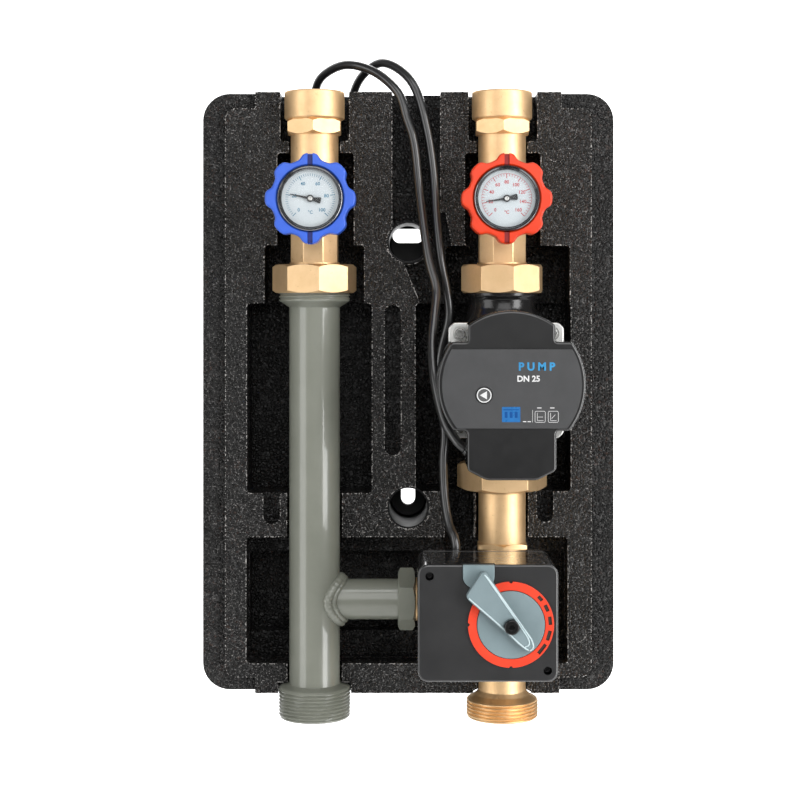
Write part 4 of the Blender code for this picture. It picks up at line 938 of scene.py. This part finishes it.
def nut_blank(sides, across_flats, turn, low, high, place, drop=1.6):
    """A many-sided nut with its corners turned off at both ends."""
    flat = across_flats / 2 - 0.3
    corner = across_flats / 2 / math.cos(math.pi / sides) + 0.2
    nut = prism(polygon(sides, across_flats, math.radians(turn)), low, high, place)
    beyond = 1
    end = flat - (corner - flat) * beyond / drop
    barrel = ((0, high + beyond), (end, high + beyond), (corner, high - drop), (corner, low + drop),
              (end, low - beyond), (0, low - beyond))
    return common(nut, turned(barrel, place, 96, soft=0))


def valve_body(side, x):
    above_ball = STEM_Z + SEAT_FAR + GAP
    profile = (
        (G1_BORE_R + 1.6, 200), (19.3, 200), (20, 199.3), (20, 182.4), (19, 181.4), (15.85, 180), (15.85,
                                                                                                   150),
        (21, 141), (21, 112), (17.5, 107.6), (15.7, 107.6), (15.7, above_ball), (TAIL_BORE_R, above_ball),
        (TAIL_BORE_R, 178), (G1_BORE_R, 180), (G1_BORE_R, 198.5),
    )
    body = turned(profile, upright(x), 72, bored=True, soft=0.5)
    hexagon = nut_blank(6, 34.8, 90, 171, 181.7, upright(x), 2.4)
    join(body, cut(hexagon, rod(13, 160, 190, upright(x))))
    join(body, rod(9.5, 17, 33, front(x, STEM_Z)))
    cut(body, rod(6, 13, 43, front(x, STEM_Z)))
    bevelled(cleaned(body), 0.3, 2, 24)
    piece(body, f"{side}_ball_valve_body", "brass", replaced=(f"{side}_valve_body",), angle=30)


def valve_tailpiece(side, x):
    below_ball, face = STEM_Z - SEAT_FAR - GAP, UNION_FACE_Z + GAP
    profile = ((14.6, below_ball), (15.35, 111.6), (15.35, 107), (NECK_R, 107), (NECK_R, 79.9),
               (COLLAR_R, 79.9),
               (COLLAR_R, face), (TAIL_BORE_R, face), (TAIL_BORE_R, below_ball))
    tail = turned(profile, upright(x), 72, bored=True, soft=0.2)
    octagon = prism(polygon(8, 31, math.pi / 8), 86.2, 107.1, upright(x))
    common(tail, join(octagon, rod(30, 107, 127, upright(x)), rod(30, 61.3, 86.3, upright(x))))
    bevelled(cleaned(tail), 0.25, 2, 24)
    piece(tail, f"{side}_union_tail", "machined_brass", replaced=(f"{side}_valve_tailpiece",),
          angle=28)


def union_nut(name, x, low, height, sides, turn, lip_on_top=True, lip=4.6):
    nut = nut_blank(sides, UNION_AF, turn, low, low + height, upright(x), 2.0)
    thread_low = low - 10 if lip_on_top else low + lip
    cut(nut, rod(UNION_BORE_R, thread_low, thread_low + height - lip + 10, upright(x), 72),
        rod(NECK_R + 0.5, low - 20, low + 40, upright(x), 72))
    bevelled(cleaned(nut), 0.35, 2, 24)
    piece(nut, f"{name}_nut", "machined_brass", replaced=(f"{name}_union_nut",), angle=28)


def handle_outline():
    """Blunt lobes with round scallops between them."""
    points = []
    count = HANDLE_LOBES * 24
    for angle in (math.tau * i / count for i in range(count)):
        wave = math.cos(HANDLE_LOBES * angle)
        radius = 27.15 + 1.75 * math.tanh(1.9 * (wave + 0.12)) / math.tanh(2.1) - 0.35 * (1 - wave) / 2
        points.append((radius * math.cos(angle), radius * math.sin(angle)))
    return points


def valve_handle(side, look, slot_shade_look):
    x, body, place = COLUMNS[side], f"{side}_valve", front(COLUMNS[side], STEM_Z)
    handle = bevelled(prism(handle_outline(), HANDLE_FRONT - 17, HANDLE_FRONT, place), 1.5, 4, 60)
    join(handle, turned(((0, 33.4), (11, 33.4), (14, 41.4), (0, 41.4)), place, soft=0))
    well = ((0, HANDLE_FRONT - 9), (21.1, HANDLE_FRONT - 9), (21.1, HANDLE_FRONT - 0.9),
            (23.0, HANDLE_FRONT + 1),
            (0, HANDLE_FRONT + 1))
    cut(handle, turned(well, place, 96, soft=0.4))
    cut(handle, rod(5.7, 30, 45, place))
    for z in (STEM_Z + 26, STEM_Z - 26):
        cut(handle, block((x - 1.6, PIPE_Y - 60, z - 6), (x + 1.6, PIPE_Y - 47, z + 6)))
    bevelled(cleaned(handle), 0.3, 2, 50)
    piece(handle, f"{side}_handle", look, body, (f"{side}_valve_handle",), angle=35)
    # Dark strips filling the two slots: painted shade in the slots.
    for z, label in ((STEM_Z + 24.6, "upper"), (STEM_Z - 24.6, "lower")):
        shade_strip = block((x - 1.55, PIPE_Y - HANDLE_FRONT + 1.0, z - 3.2),
                      (x + 1.55, PIPE_Y - HANDLE_FRONT + 9, z + 3.2))
        piece(bevelled(shade_strip, 0.2, 2), f"{side}_handle_{label}_mark", slot_shade_look, body)


def text(words, size, place, weight=0.05):
    """Raised print: letters and figures as flat solids."""
    curve = bpy.data.curves.new("text", "FONT")
    curve.body = words
    curve.size = size * MM
    curve.extrude = 0.03 * MM
    curve.offset = weight * MM
    curve.resolution_u = 3
    curve.align_x, curve.align_y = "CENTER", "CENTER"
    obj = meshed(placed(curve))
    obj.data.transform(Matrix.Scale(MM, 4) @ place @ Matrix.Scale(1 / MM, 4))
    return obj


def stroke(start, end, width, place):
    """A flat printed line from start to end."""
    a, b = Vector(start), Vector(end)
    along = (b - a).normalized()
    across = Vector((-along.y, along.x)) * width / 2
    return prism([tuple(p) for p in (a + across, a - across, b - across, b + across)], 0, 0.06, place)


def ring_print(radius, width, start, end, place, thickness=0.06, steps=48):
    half = width / 2
    outline = arc(0, 0, radius + half, start, end, steps) + arc(0, 0, radius - half, end, start, steps)
    return prism(outline, 0, thickness, place)


def dial_angle(share):
    return math.radians(DIAL_START - DIAL_SWEEP * share)


def dial_print(side, look, top_value, divisions, long_every):
    """Scale marks, figures at every twentieth degree, and the unit."""
    place = front(COLUMNS[side], STEM_Z, DIAL_BACK + 5.22)
    parts = []
    for i in range(divisions + 1):
        angle = dial_angle(i / divisions)
        inner, width = (12.9, 0.46) if i % long_every == 0 else (14.2, 0.26)
        parts.append(stroke(*[(r * math.cos(angle), r * math.sin(angle)) for r in (inner, 15.9)], width,
                            place))
    if side == "supply":
        parts.append(ring_print(15.9, 0.2, DIAL_START - DIAL_SWEEP, DIAL_START, place))
    for value in range(0, top_value + 1, 20):
        angle = dial_angle(value / top_value)
        spot = Matrix.Translation((10.4 * math.cos(angle), 10.4 * math.sin(angle), 0.03))
        parts.append(text(str(value), 3.1, place @ spot))
    parts.append(text("°C", 2.9, place @ Matrix.Translation((0, -8.8, 0.03))))
    piece(merged(*parts), f"{side}_dial_print", look, f"{side}_valve")


def thermometer(side, pointer_angle):
    place, body = front(COLUMNS[side], STEM_Z, DIAL_BACK), f"{side}_valve"
    bezel = ((20.2, 9.9), (20.7, 9.6), (20.9, 8.9), (20.9, 0), (0, 0), (0, 1.2), (19.0, 1.2), (19.0, 5.3),
             (18.15, 5.5), (18.15, 7.9), (18.7, 8.3), (19.4, 9.2), (20.2, 9.9))
    piece(turned(bezel, place, 96), f"{side}_gauge_case", "dark_chrome", body, (f"{side}_thermometer_case",))
    dial = turned(((0, 4.2), (18.7, 4.2), (18.7, 5.2), (0, 5.2)), place, 96, soft=0.1)
    piece(dial, f"{side}_gauge_dial", "dial_white", body, (f"{side}_thermometer_dial",))
    crown = [(18.0 * i / 12, 8.3 - 0.8 * (i / 12) ** 2) for i in range(13)]
    glass = turned([*crown, *[(r, z - 0.7) for r, z in reversed(crown)]], place, 96, soft=0)
    piece(glass, f"{side}_gauge_glass", "clear_glass", body, (f"{side}_thermometer_glass",), angle=60)
    blade = [(-1.5, -6.9), (1.5, -6.9), (2.0, -6.3), (1.1, -2.2), *arc(0, 0, 2.0, -55, 62, 8), (0.68, 3.0),
             (0.25, 13.2), (-0.25, 13.2), (-0.68, 3.0), *arc(0, 0, 2.0, 118, 235, 8), (-1.1, -2.2), (-2.0,
                                                                                                     -6.3)]
    pointer = prism(blade, 6.1, 6.6, place @ Matrix.Rotation(math.radians(pointer_angle - 90), 4, "Z"))
    join(pointer, turned(((0, 5.9), (2.3, 5.9), (2.3, 7.1), (0, 7.1)), place, 40, soft=0.2))
    bevelled(cleaned(pointer), 0.08, 1, 50)
    piece(pointer, f"{side}_gauge_pointer", "pointer_black", f"{side}_pointer",
          (f"{side}_thermometer_pointer",))
    cap = ((0, 6.9), (1.5, 6.9), (1.5, 7.3), (1.1, 7.6), (0.6, 7.6), (0.5, 7.3), (0, 7.3))
    piece(turned(cap, place, 32, soft=0.1), f"{side}_pointer_cap", "stainless", f"{side}_pointer")


def ball_valves():
    for side, x in COLUMNS.items():
        valve_body(side, x)
        valve_tailpiece(side, x)
    valve_handle("return", "blue_plastic", "slot_shadow_blue")
    valve_handle("supply", "red_plastic", "slot_shadow_red")
    thermometer("return", 168)
    thermometer("supply", 189)
    dial_print("return", "dial_blue", 100, 50, 10)
    dial_print("supply", "dial_red", 160, 40, 5)
    union_nut("return", -COLUMN_X, 66, 19, 8, 9)
    union_nut("supply", COLUMN_X, 66, 19, 8, 12.7)
    union_nut("pump", COLUMN_X, -64.5, 18.5, 6, 1.0, False)


# Return pipe

PIPE_R, PIPE_BORE_R, BRANCH_R, BRANCH_BORE_R = 16.85, 14.2, 13.45, 10.9
BRANCH_END = -5.6
BRANCH_NUT_X = -6.9
FOOT_EDGE = G112_R, BOTTOM_Z + 1.4  # where the chamfer of both lower threads starts


def return_pipe():
    at_pipe, at_branch = upright(-COLUMN_X), sideways(-COLUMN_X, BRANCH_Z)
    face = UNION_FACE_Z - GAP
    profile = ((0, face), (G112_LEAD_R, face), (G112_R, 73.5), (G112_R, 61), (18.6, 57.6), (PIPE_R, 56.6),
               (PIPE_R, -193.8), (G112_LEAD_R, -195.4), (G112_R, -196.6), FOOT_EDGE, (G112_LEAD_R, BOTTOM_Z),
               (0, BOTTOM_Z))
    pipe = turned(profile, at_pipe, 96, soft=0.5, threads=((-215.2, -196.0, 1.45), (60.8, 74, 1.1)))
    cut(pipe, rod(PIPE_BORE_R, -FAR, 90, at_pipe, 64))
    branch = rod(BRANCH_R, 0, COLUMN_X + BRANCH_END, at_branch, 72)
    cut(branch, rod(PIPE_BORE_R + 1, -FAR, 90, at_pipe, 64), rod(BRANCH_BORE_R, -5, COLUMN_X + 20, at_branch))
    join(pipe, branch)
    cut(pipe, rod(BRANCH_BORE_R, 2, COLUMN_X + 20, at_branch))
    piece(cleaned(pipe), "return_column", "grey_paint", replaced=("return_pipe",), angle=32)
    weld_rings(random.Random(7))


def weld_rings(rng, steps=150):
    """The saddle weld: a rippled bead where the tubes meet, and a smaller one that tapers onto the branch."""
    for name, out, along, radius in (("branch_weld", 1.2, 1.0, 2.9), ("branch_weld_toe", 0.2, 3.5, 1.9)):
        bead = []
        for i in range(steps):
            angle = math.tau * i / steps
            y, z = (BRANCH_R + out) * math.cos(angle), (BRANCH_R + out) * math.sin(angle)
            x = math.sqrt(PIPE_R**2 - min(y * y, PIPE_R**2 * 0.98)) + along
            ripple = 1 + 0.13 * abs(math.sin(angle * 17)) + rng.uniform(-0.02, 0.02)
            bead.append((-COLUMN_X + x, PIPE_Y + y, BRANCH_Z + z, ripple))
        piece(meshed(swept([bead], radius, 6, cyclic=True)), name, "grey_paint", angle=80)


def branch_nut():
    place = sideways(BRANCH_NUT_X, BRANCH_Z)
    nut = cut(nut_blank(6, 36.2, 0, 0, 11.4, place), rod(BRANCH_R + GAP, -10, 30, place, 64))
    bevelled(cleaned(nut), 0.4, 2, 24)
    piece(nut, "branch_nut", "grey_paint", replaced=("branch_union_nut",), angle=28)


# Pump

CASING_R = 38.0
MOTOR_BACK, SCREW_SEAT = 38.4, 5.2
FLANGE_HALF, FLANGE_CORNER = 37.0, 3.4
SCREW_X, SCREW_Z = 29.5, 30.0
BUTTON_X, BUTTON_Z = -16.9, -6.2
BUTTON_HOLE_R = 5.1
HEAD_R, HEAD_NECK, HEAD_NOTCH, HEAD_FOOT, HEAD_SKIRT = 44.9, 26.3, 26.0, -58.0, 27.0
HEAD_BACK, HEAD_WALL = 62.0, 2.6
LABEL_R, LABEL_TOP, LABEL_FOOT, LABEL_T = 42.4, 21.6, -26.4, 1.2


def at_pump(depth=0.0, x=0.0, z=0.0):
    return front(COLUMN_X + x, PUMP_Z + z, depth)


def pump_corners():
    return [at_pump(0, sx * SCREW_X, sz * SCREW_Z) for sx in (1, -1) for sz in (1, -1)]


def pump_housing():
    casing = ((0, 38), (35, 38), (CASING_R, 34), (CASING_R, -18), (32, -27), (0, -27))
    housing = turned(casing, at_pump(), 96, soft=3)
    face = UNION_FACE_Z - GAP
    neck = ((0, face), (G112_R, face), (G112_R, 64), (22, 62), (22, 57), (29, 40), (29, -30), (22, -40),
            (G112_R, -43), (G112_R, PUMP_FOOT_Z), (0, PUMP_FOOT_Z))
    join(housing, turned(neck, upright(COLUMN_X), 96, soft=2))
    for corner in pump_corners():
        join(housing, rod(7, 24, 38, corner, 40))
    cut(housing, rod(30, -6, 64, at_pump(), 64), rod(12.5, -150, 150, upright(COLUMN_X)))
    bevelled(cleaned(housing), 1.2, 3, 35)
    piece(housing, "pump_volute", "black_cast_iron", replaced=("pump_housing",), angle=50)


def motor_flange():
    half, short = FLANGE_HALF, FLANGE_HALF - FLANGE_CORNER
    outline = [(half, short), (short, half), (-short, half), (-half, short), (-half, -short), (-short, -half),
               (short, -half), (half, -short)]
    flange = bevelled(prism(softened(outline, 1.5, 4), MOTOR_BACK, MOTOR_BACK + 7, at_pump()), 0.9, 3, 60)
    join(flange, turned(((0, 42.4), (34, 42.4), (34, 67), (32.6, 68.4), (0, 68.4)), at_pump(), 96, soft=0))
    cut(flange, rod(31, 42.4, 82.4, at_pump(), 72), rod(3.3, 30, 50, at_pump(), 32))
    for corner in pump_corners():
        cut(flange, rod(2.9, 30, 60, corner, 32))
        cut(flange, rod(4.3, MOTOR_BACK + SCREW_SEAT, 60, corner))
    bevelled(cleaned(flange), 0.2, 1, 50)
    piece(flange, "motor_flange", "stainless", replaced=("motor_housing",), angle=40)


def socket_screw(place, seat, radius, height, shank, key):
    """A head with a hexagon socket, its end rounded off, and the start of its shank."""
    top = seat + height
    profile = ((0, top), (radius - 0.5, top), (radius, top - 0.5), (radius, seat), (shank, seat),
               (shank, seat - 8),
               (0, seat - 8))
    screw = cut(turned(profile, place, 48, soft=0.25), prism(polygon(6, key, 0.3), top - 2.4, top + 3, place))
    return bevelled(cleaned(screw), 0.12, 1, 40)


def pump_screws():
    names = ("upper_right", "lower_right", "upper_left", "lower_left")
    for name, corner in zip(names, pump_corners()):
        screw = socket_screw(corner, MOTOR_BACK + SCREW_SEAT + GAP, 3.4, 4.8, 2.5, 3.2)
        piece(screw, f"flange_screw_{name}", "screw_steel", replaced=(f"pump_screw_{name}",))


def head_outline(wall=0.0, shrink=0.0):
    """The head from the front: a dome, two wings and a skirt; wall sinks the notch and lifts the foot."""
    r, neck, skirt = HEAD_R - shrink, HEAD_NECK - shrink, HEAD_SKIRT - shrink
    notch, foot, wing_foot = HEAD_NOTCH - wall, HEAD_FOOT + wall, -28 + shrink
    dome = math.degrees(math.acos(neck / r))
    wing, low = math.degrees(math.asin(notch / r)), math.degrees(math.asin(wing_foot / r))
    right = [(15.4 - shrink / 2, foot), (skirt, foot + 6), (skirt, wing_foot), *arc(0, 0, r, low, wing, 18),
             (neck, notch), *arc(0, 0, r, dome, 90, 14)]
    left = [(-x, y) for x, y in reversed(right) if x > 1e-6]
    return softened(right + left, 2.2, 4)


def pump_head():
    cover = bevelled(prism(head_outline(), HEAD_BACK, HEAD_FRONT, at_pump()), 1.5, 3, 60, sharp_miter=True)
    cut(cover, prism(head_outline(HEAD_WALL, HEAD_WALL), 50, HEAD_FRONT - 3, at_pump()))
    cut(cover, rod(BUTTON_HOLE_R, 95, 115, at_pump(0, BUTTON_X, BUTTON_Z)))
    piece(cleaned(cover), "electronics_cover", "black_plastic", replaced=("pump_head_cover",), angle=35)
    back = prism(head_outline(HEAD_WALL, HEAD_WALL + 0.3), HEAD_BACK + 0.4, HEAD_BACK + 2.6, at_pump())
    cut(back, rod(34.6, 40, 80, at_pump(), 96))
    piece(bevelled(cleaned(back), 0.3, 2, 50), "electronics_back_plate", "black_plastic")
    plug = prism(rounded_box(17, 15, 2.5, 5), 50.2, HEAD_BACK + 0.9, front(53.5, -43.5))
    piece(bevelled(plug, 1.0, 3, 50), "pump_cable_plug", "black_plastic")


def mode_button():
    profile = ((0, 104.9), (4.3, 105.1), (4.75, 104.7), (4.75, 96), (0, 96))
    button = turned(profile, at_pump(0, BUTTON_X, BUTTON_Z), soft=0.2)
    piece(button, "mode_push_button", "button_grey", "mode_button", ("mode_button",))
    place = at_pump(105.08, BUTTON_X, BUTTON_Z)
    triangle = prism(softened([(-2.6, 0), (1.7, 2.5), (1.7, -2.5)], 0.25), -0.1, 0.07, place)
    ring = ring_print(4.15, 0.62, 0, 359.9, place, 0.07, 64)
    piece(merged(triangle, ring), "mode_button_print", "print_white", "mode_button")


def control_label():
    r, high = LABEL_R, math.degrees(math.asin(LABEL_TOP / LABEL_R))
    low = math.degrees(math.asin(LABEL_FOOT / LABEL_R))
    outline = arc(0, 0, r, low, high, 28) + arc(0, 0, r, 180 - high, 180 - low, 28)
    label = prism(outline, GAP, LABEL_T, at_pump(HEAD_FRONT))
    cut(label, rod(BUTTON_HOLE_R, -10, 10, at_pump(HEAD_FRONT, BUTTON_X, BUTTON_Z), 56))
    piece(bevelled(cleaned(label), 0.15, 1, 60), "front_label", "label_foil", replaced=("control_label",))


def label_prints():
    face = at_pump(HEAD_FRONT + LABEL_T)
    screen = prism(rounded_box(11.1, 9.2, 0.4, 3, (-0.55, -17.9)), -0.05, 0.05, face)
    piece(screen, "label_display", "display_blue")
    bars = [prism(rounded_box(1.7, 3.6, 0.3, 3, (x, -18.1)), 0.0, 0.1, face) for x in (-3.6, -0.55, 2.5)]
    bars.append(prism(rounded_box(9.4, 0.5, 0.2, 3, (-0.55, -15.0)), 0.0, 0.1, face))
    piece(merged(*bars), "display_segments", "display_dark")
    lines = []
    for x0, x1 in ((13.9, 20.1), (21.9, 28.0)):
        corners = rounded_box(x1 - x0, 6.7, 0.8, 4, ((x0 + x1) / 2, -19.25))
        edges = [(a, b, 0.26) for a, b in zip(corners, corners[1:] + corners[:1]) if math.dist(a, b) > 1e-4]
        lines += [*edges, ((x0 + 1.4, -16.9), (x0 + 1.4, -21.6), 0.26),
                  ((x0 + 1.3, -21.6), (x1 - 1.1, -21.6), 0.26)]
    lines += [((15.9, -19.4), (18.8, -19.4), 0.24), ((23.9, -20.4), (26.2, -17.9), 0.24),
              ((12.4, -15.2), (12.4, -22.6), 0.2)]
    lines += [((x, -22.2), (x + 2.0, -22.2), 0.5) for x in (6.6, 9.4)]
    lines += [((x, -13.9), (x + 2.6, -13.9), 0.5) for x in (15.2, 23.0)]
    size = text("DN 25", 5.0, face @ Matrix.Translation((10.0, 3.6, 0.02)), 0.14)
    piece(merged(*[stroke(*line, face) for line in lines], size), "label_icons", "print_white")
    word = text("P U M P", 6.6, face @ Matrix.Translation((14.9, 10.9, 0.02)), 0.26)
    piece(word, "label_word", "print_blue")


# Mixing valve and actuator

PORT_R, ROTOR_R = 15.7, 15.0
BOX_LEFT, BOX_RIGHT, BOX_FOOT, BOX_TOP, BOX_CORNER = -57.0, 29.0, -35.4, 36.5, 6.5
BOX_SCREWS = {"upper": (-49.7, 29.3), "lower": (22.6, -28.5)}
TAB_X, TAB_HALF, TAB_DROP, TAB_SUNK = -19.7, 9.7, 12.5, 2.6
DISC_R, RING_R = 20.7, 26.3
KNOB_FRONT = BOX_FRONT + 8.0
LEVER = ((-15.8, 33.2), (-18.2, 33.0), (-27.4, 19.0), (-27.3, 17.4), (-25.8, 15.6), (-2.7, -4.7),
         (4.0, -11.2),
         (8.2, -14.4), (11.4, -15.5), (13.7, -14.4), (14.4, -11.6), (12.8, -7.4), (8.8, -1.7))
# Lines of painted highlight along the lever's rims and inside its edge.
LEVER_HIGHLIGHT_LINES = {
    "lever_right_rim_highlight": ((-16.6, 31.6), (-13.6, 28.5), (8.0, -1.9), (12.0, -7.6), (13.3, -11.6), (12.6, -13.6),
                        (11.0, -14.4)),
    "lever_inner_highlight": ((-15.4, 30.2), (0.4, 7.4), (6.2, -1.2), (9.8, -6.4), (10.9, -9.8), (10.2, -11.6),
                         (8.0, -12.2)),
    "lever_left_rim_highlight": ((-26.0, 17.2), (-2.2, -3.6), (4.6, -10.2), (8.4, -13.2), (10.4, -14.2)),
}


def at_knob(depth=0.0, x=0.0, z=0.0):
    return front(COLUMN_X + x, MIXING_Z + z, depth)


def mixing_valve():
    face = PUMP_FOOT_Z - GAP
    profile = ((0, face), (COLLAR_R, face), (COLLAR_R, -59.6), (NECK_R, -59.6), (NECK_R, -65.5),
               (PORT_R, -66.5),
               (PORT_R, -198), (18.2, -200.9), (22.8, -203.4), (G112_R, -204.4), FOOT_EDGE,
               (G112_LEAD_R, BOTTOM_Z), (0, BOTTOM_Z))
    body = turned(profile, upright(COLUMN_X), 96, soft=0.6, threads=((-215.2, -203.8, 1.45),))
    chamber = ((0, 20), (22, 20), (22, -15), (17, -20), (0, -20))
    join(body, turned(chamber, at_knob(), 96, soft=1.5),
         nut_blank(6, 31.9, 90, -112, -99.6, upright(COLUMN_X), 1.6))
    join(body, rod(14.2, 0, COLUMN_X - 4.9 - 5, sideways(4.9, BRANCH_Z), 72))
    cut(body, rod(ROTOR_R + 0.4, -14, 46, at_knob(), 64), rod(TAIL_BORE_R, -FAR, -30, upright(COLUMN_X)),
        rod(10.5, 0, COLUMN_X, sideways(0, BRANCH_Z)))
    piece(cleaned(body), "mixing_body", "brass", replaced=("mixing_valve_body",), angle=30)
    cover = ((4.4, 27.5), (9, 27.5), (9, 24.5), (21.5, 24.5), (21.5, 20.3), (4.4, 20.3))
    piece(turned(cover, at_knob(), 72, bored=True, soft=0.5), "mixing_cover", "machined_brass",
          replaced=("mixing_valve_cover",))


def box_outline(inset=0.0):
    return rounded_box(BOX_RIGHT - BOX_LEFT - 2 * inset, BOX_TOP - BOX_FOOT - 2 * inset, BOX_CORNER - inset,
                       8,
                       ((BOX_LEFT + BOX_RIGHT) / 2, (BOX_FOOT + BOX_TOP) / 2))


def tab_outline(grow=0.0):
    half, top = TAB_HALF + grow, BOX_TOP + 2
    low = BOX_TOP - TAB_DROP + 5.2
    return [(TAB_X + half, top), (TAB_X - half, top),
            *[(TAB_X + px, low + py * 0.8) for px, py in arc(0, 0, half, 180, 360, 20)]]


def actuator_housing():
    base = bevelled(prism(box_outline(), BOX_BACK, BOX_BACK + 8, at_knob()), 0.6, 2, 60)
    cut(base, prism(box_outline(3), BOX_BACK + 3, BOX_BACK + 23, at_knob()), rod(4.4, 20, 50, at_knob()))
    piece(cleaned(base), "actuator_back", "actuator_plastic", replaced=("actuator_base",))
    back = BOX_BACK + 8 + GAP
    cover = bevelled(prism(box_outline(), back, BOX_FRONT, at_knob()), 1.4, 4, 60, sharp_miter=True)
    cut(cover, prism(box_outline(2.5), back - 2, BOX_FRONT - 2.5, at_knob()),
        rod(DISC_R + 0.5, 80, 100, at_knob(), 96),
        prism(tab_outline(GAP), BOX_FRONT - TAB_SUNK - 3, 110, at_knob()),
        *[rod(2.6, BOX_FRONT - 9, 110, at_knob(0, x, z), 40) for x, z in BOX_SCREWS.values()])
    piece(cleaned(cover), "actuator_housing", "actuator_plastic", replaced=("actuator_cover",),
          angle=35)
    for label, (x, z) in BOX_SCREWS.items():
        screw = socket_screw(at_knob(0, x, z), BOX_FRONT - 8, 2.4, 3, 1.5, 2.0)
        piece(screw, f"actuator_screw_{label}", "pointer_black")
    plug = prism(rounded_box(14, 17, 2.5, 5), 18.2, BOX_BACK - 0.1, front(31, -122))
    piece(bevelled(plug, 1.0, 3, 50), "actuator_cable_plug", "actuator_plastic")


def scale_ring():
    inner = DISC_R + 0.3
    profile = ((inner, 0), (RING_R, 0), (RING_R, 1.3), (inner, 1.3))
    ring = turned(profile, at_knob(BOX_FRONT + GAP), 128, bored=True, soft=0.25)
    for turn in map(math.radians, (90, 180, 270)):
        cut(ring, rod(1.1, -4, 6, at_knob(BOX_FRONT, RING_R * math.cos(turn), RING_R * math.sin(turn)), 24))
    windows = []
    for angle, length in ((42, 3.6), (25, 4.4), (6, 5.2), (-16, 6.2), (-38, 7.2)):
        turn = math.radians(angle)
        spot = at_knob(BOX_FRONT, 24 * math.cos(turn), 24 * math.sin(turn)) @ Matrix.Rotation(turn, 4, "Z")
        cut(ring, prism(rounded_box(2.2, length, 0.2, 2), -3, 3, spot))
        windows.append(prism(rounded_box(2.1, length - 0.1, 0.2, 2), GAP, 0.9, spot))
    piece(bevelled(cleaned(ring), 0.12, 1, 50), "red_ring", "scale_red", replaced=("red_scale_ring",))
    piece(merged(*windows), "ring_windows", "window_dark")


def lever_knob():
    place = at_knob(BOX_FRONT)
    disc = turned(((0, -2.4), (DISC_R, -2.4), (DISC_R, 2.1), (0, 2.1)), place, 96, soft=0.6)
    lever = bevelled(prism(softened(LEVER, 1.6, 4), 1.8, 8.0, place), 0.9, 3, 50)
    join(disc, lever, rod(8, -12, 0, place))
    cut(disc, rod(4.2, -22, -2, place), rod(2.4, -15, 25, place))
    cut(disc, rod(5.1, 6.9, 25, place))
    piece(bevelled(cleaned(disc), 0.2, 2, 50), "knob_disc", "grey_blue_plastic", "mixing_lever",
          ("mixing_lever_knob",), angle=38)
    # Light tubes on the lever's top: painted highlights along its edges.
    for name, line in LEVER_HIGHLIGHT_LINES.items():
        points = [at_knob(KNOB_FRONT) @ Vector((x, y, 0)) for x, y in softened(line, 2.0, 4, closed=False)]
        piece(meshed(swept([points], 0.48, 4)), name, "lever_rim_highlight", "mixing_lever",
              angle=60)
    screw = socket_screw(at_knob(), KNOB_FRONT + GAP, 4.5, 2.4, 2.0, 3.4)
    piece(screw, "knob_centre_screw", "screw_black", "mixing_lever", ("knob_screw",))


def release_button():
    tab = prism(tab_outline(), BOX_FRONT - TAB_SUNK, BOX_FRONT + 1.2, at_knob())
    left, right, top = COLUMN_X + TAB_X - 15, COLUMN_X + TAB_X + 15, MIXING_Z + BOX_TOP
    cut(tab, block((left, PIPE_Y - 120, top - 0.1), (right, PIPE_Y - 80, top + 10)))
    piece(bevelled(cleaned(tab), 0.5, 3, 50), "release_tab", "grey_blue_plastic", "release_button",
          ("release_button",))


# What stays as the model made it


def keep_nodes():
    """Inner nodes keep their meshes, with smooth round faces and a material from their slot."""
    slots = {row["node"]: row["material_slot"] for row in frame["record"]["subparts"]}
    for name, node in frame["nodes"].items():
        if node.hide_render:
            continue
        mesh = node.data
        if mesh.has_custom_normals:
            with bpy.context.temp_override(object=node, active_object=node, selected_objects=[node]):
                bpy.ops.mesh.customdata_custom_splitnormals_clear()
        mesh.polygons.foreach_set("use_smooth", [True] * len(mesh.polygons))
        mesh.set_sharp_from_angle(angle=math.radians(32))
        mesh.materials.clear()
        mesh.materials.append(LOOKS[slots[name]])


set_camera()
make_looks()
make_cable("pump", PUMP_ROUTE, PUMP_GLAND)
make_cable("actuator", ACTUATOR_ROUTE, ACTUATOR_GLAND)
set_light()
rear_shell()
mount_cups()
ball_valves()
return_pipe()
branch_nut()
pump_housing()
motor_flange()
pump_screws()
pump_head()
mode_button()
control_label()
label_prints()
mixing_valve()
actuator_housing()
scale_ring()
lever_knob()
release_button()
keep_nodes()
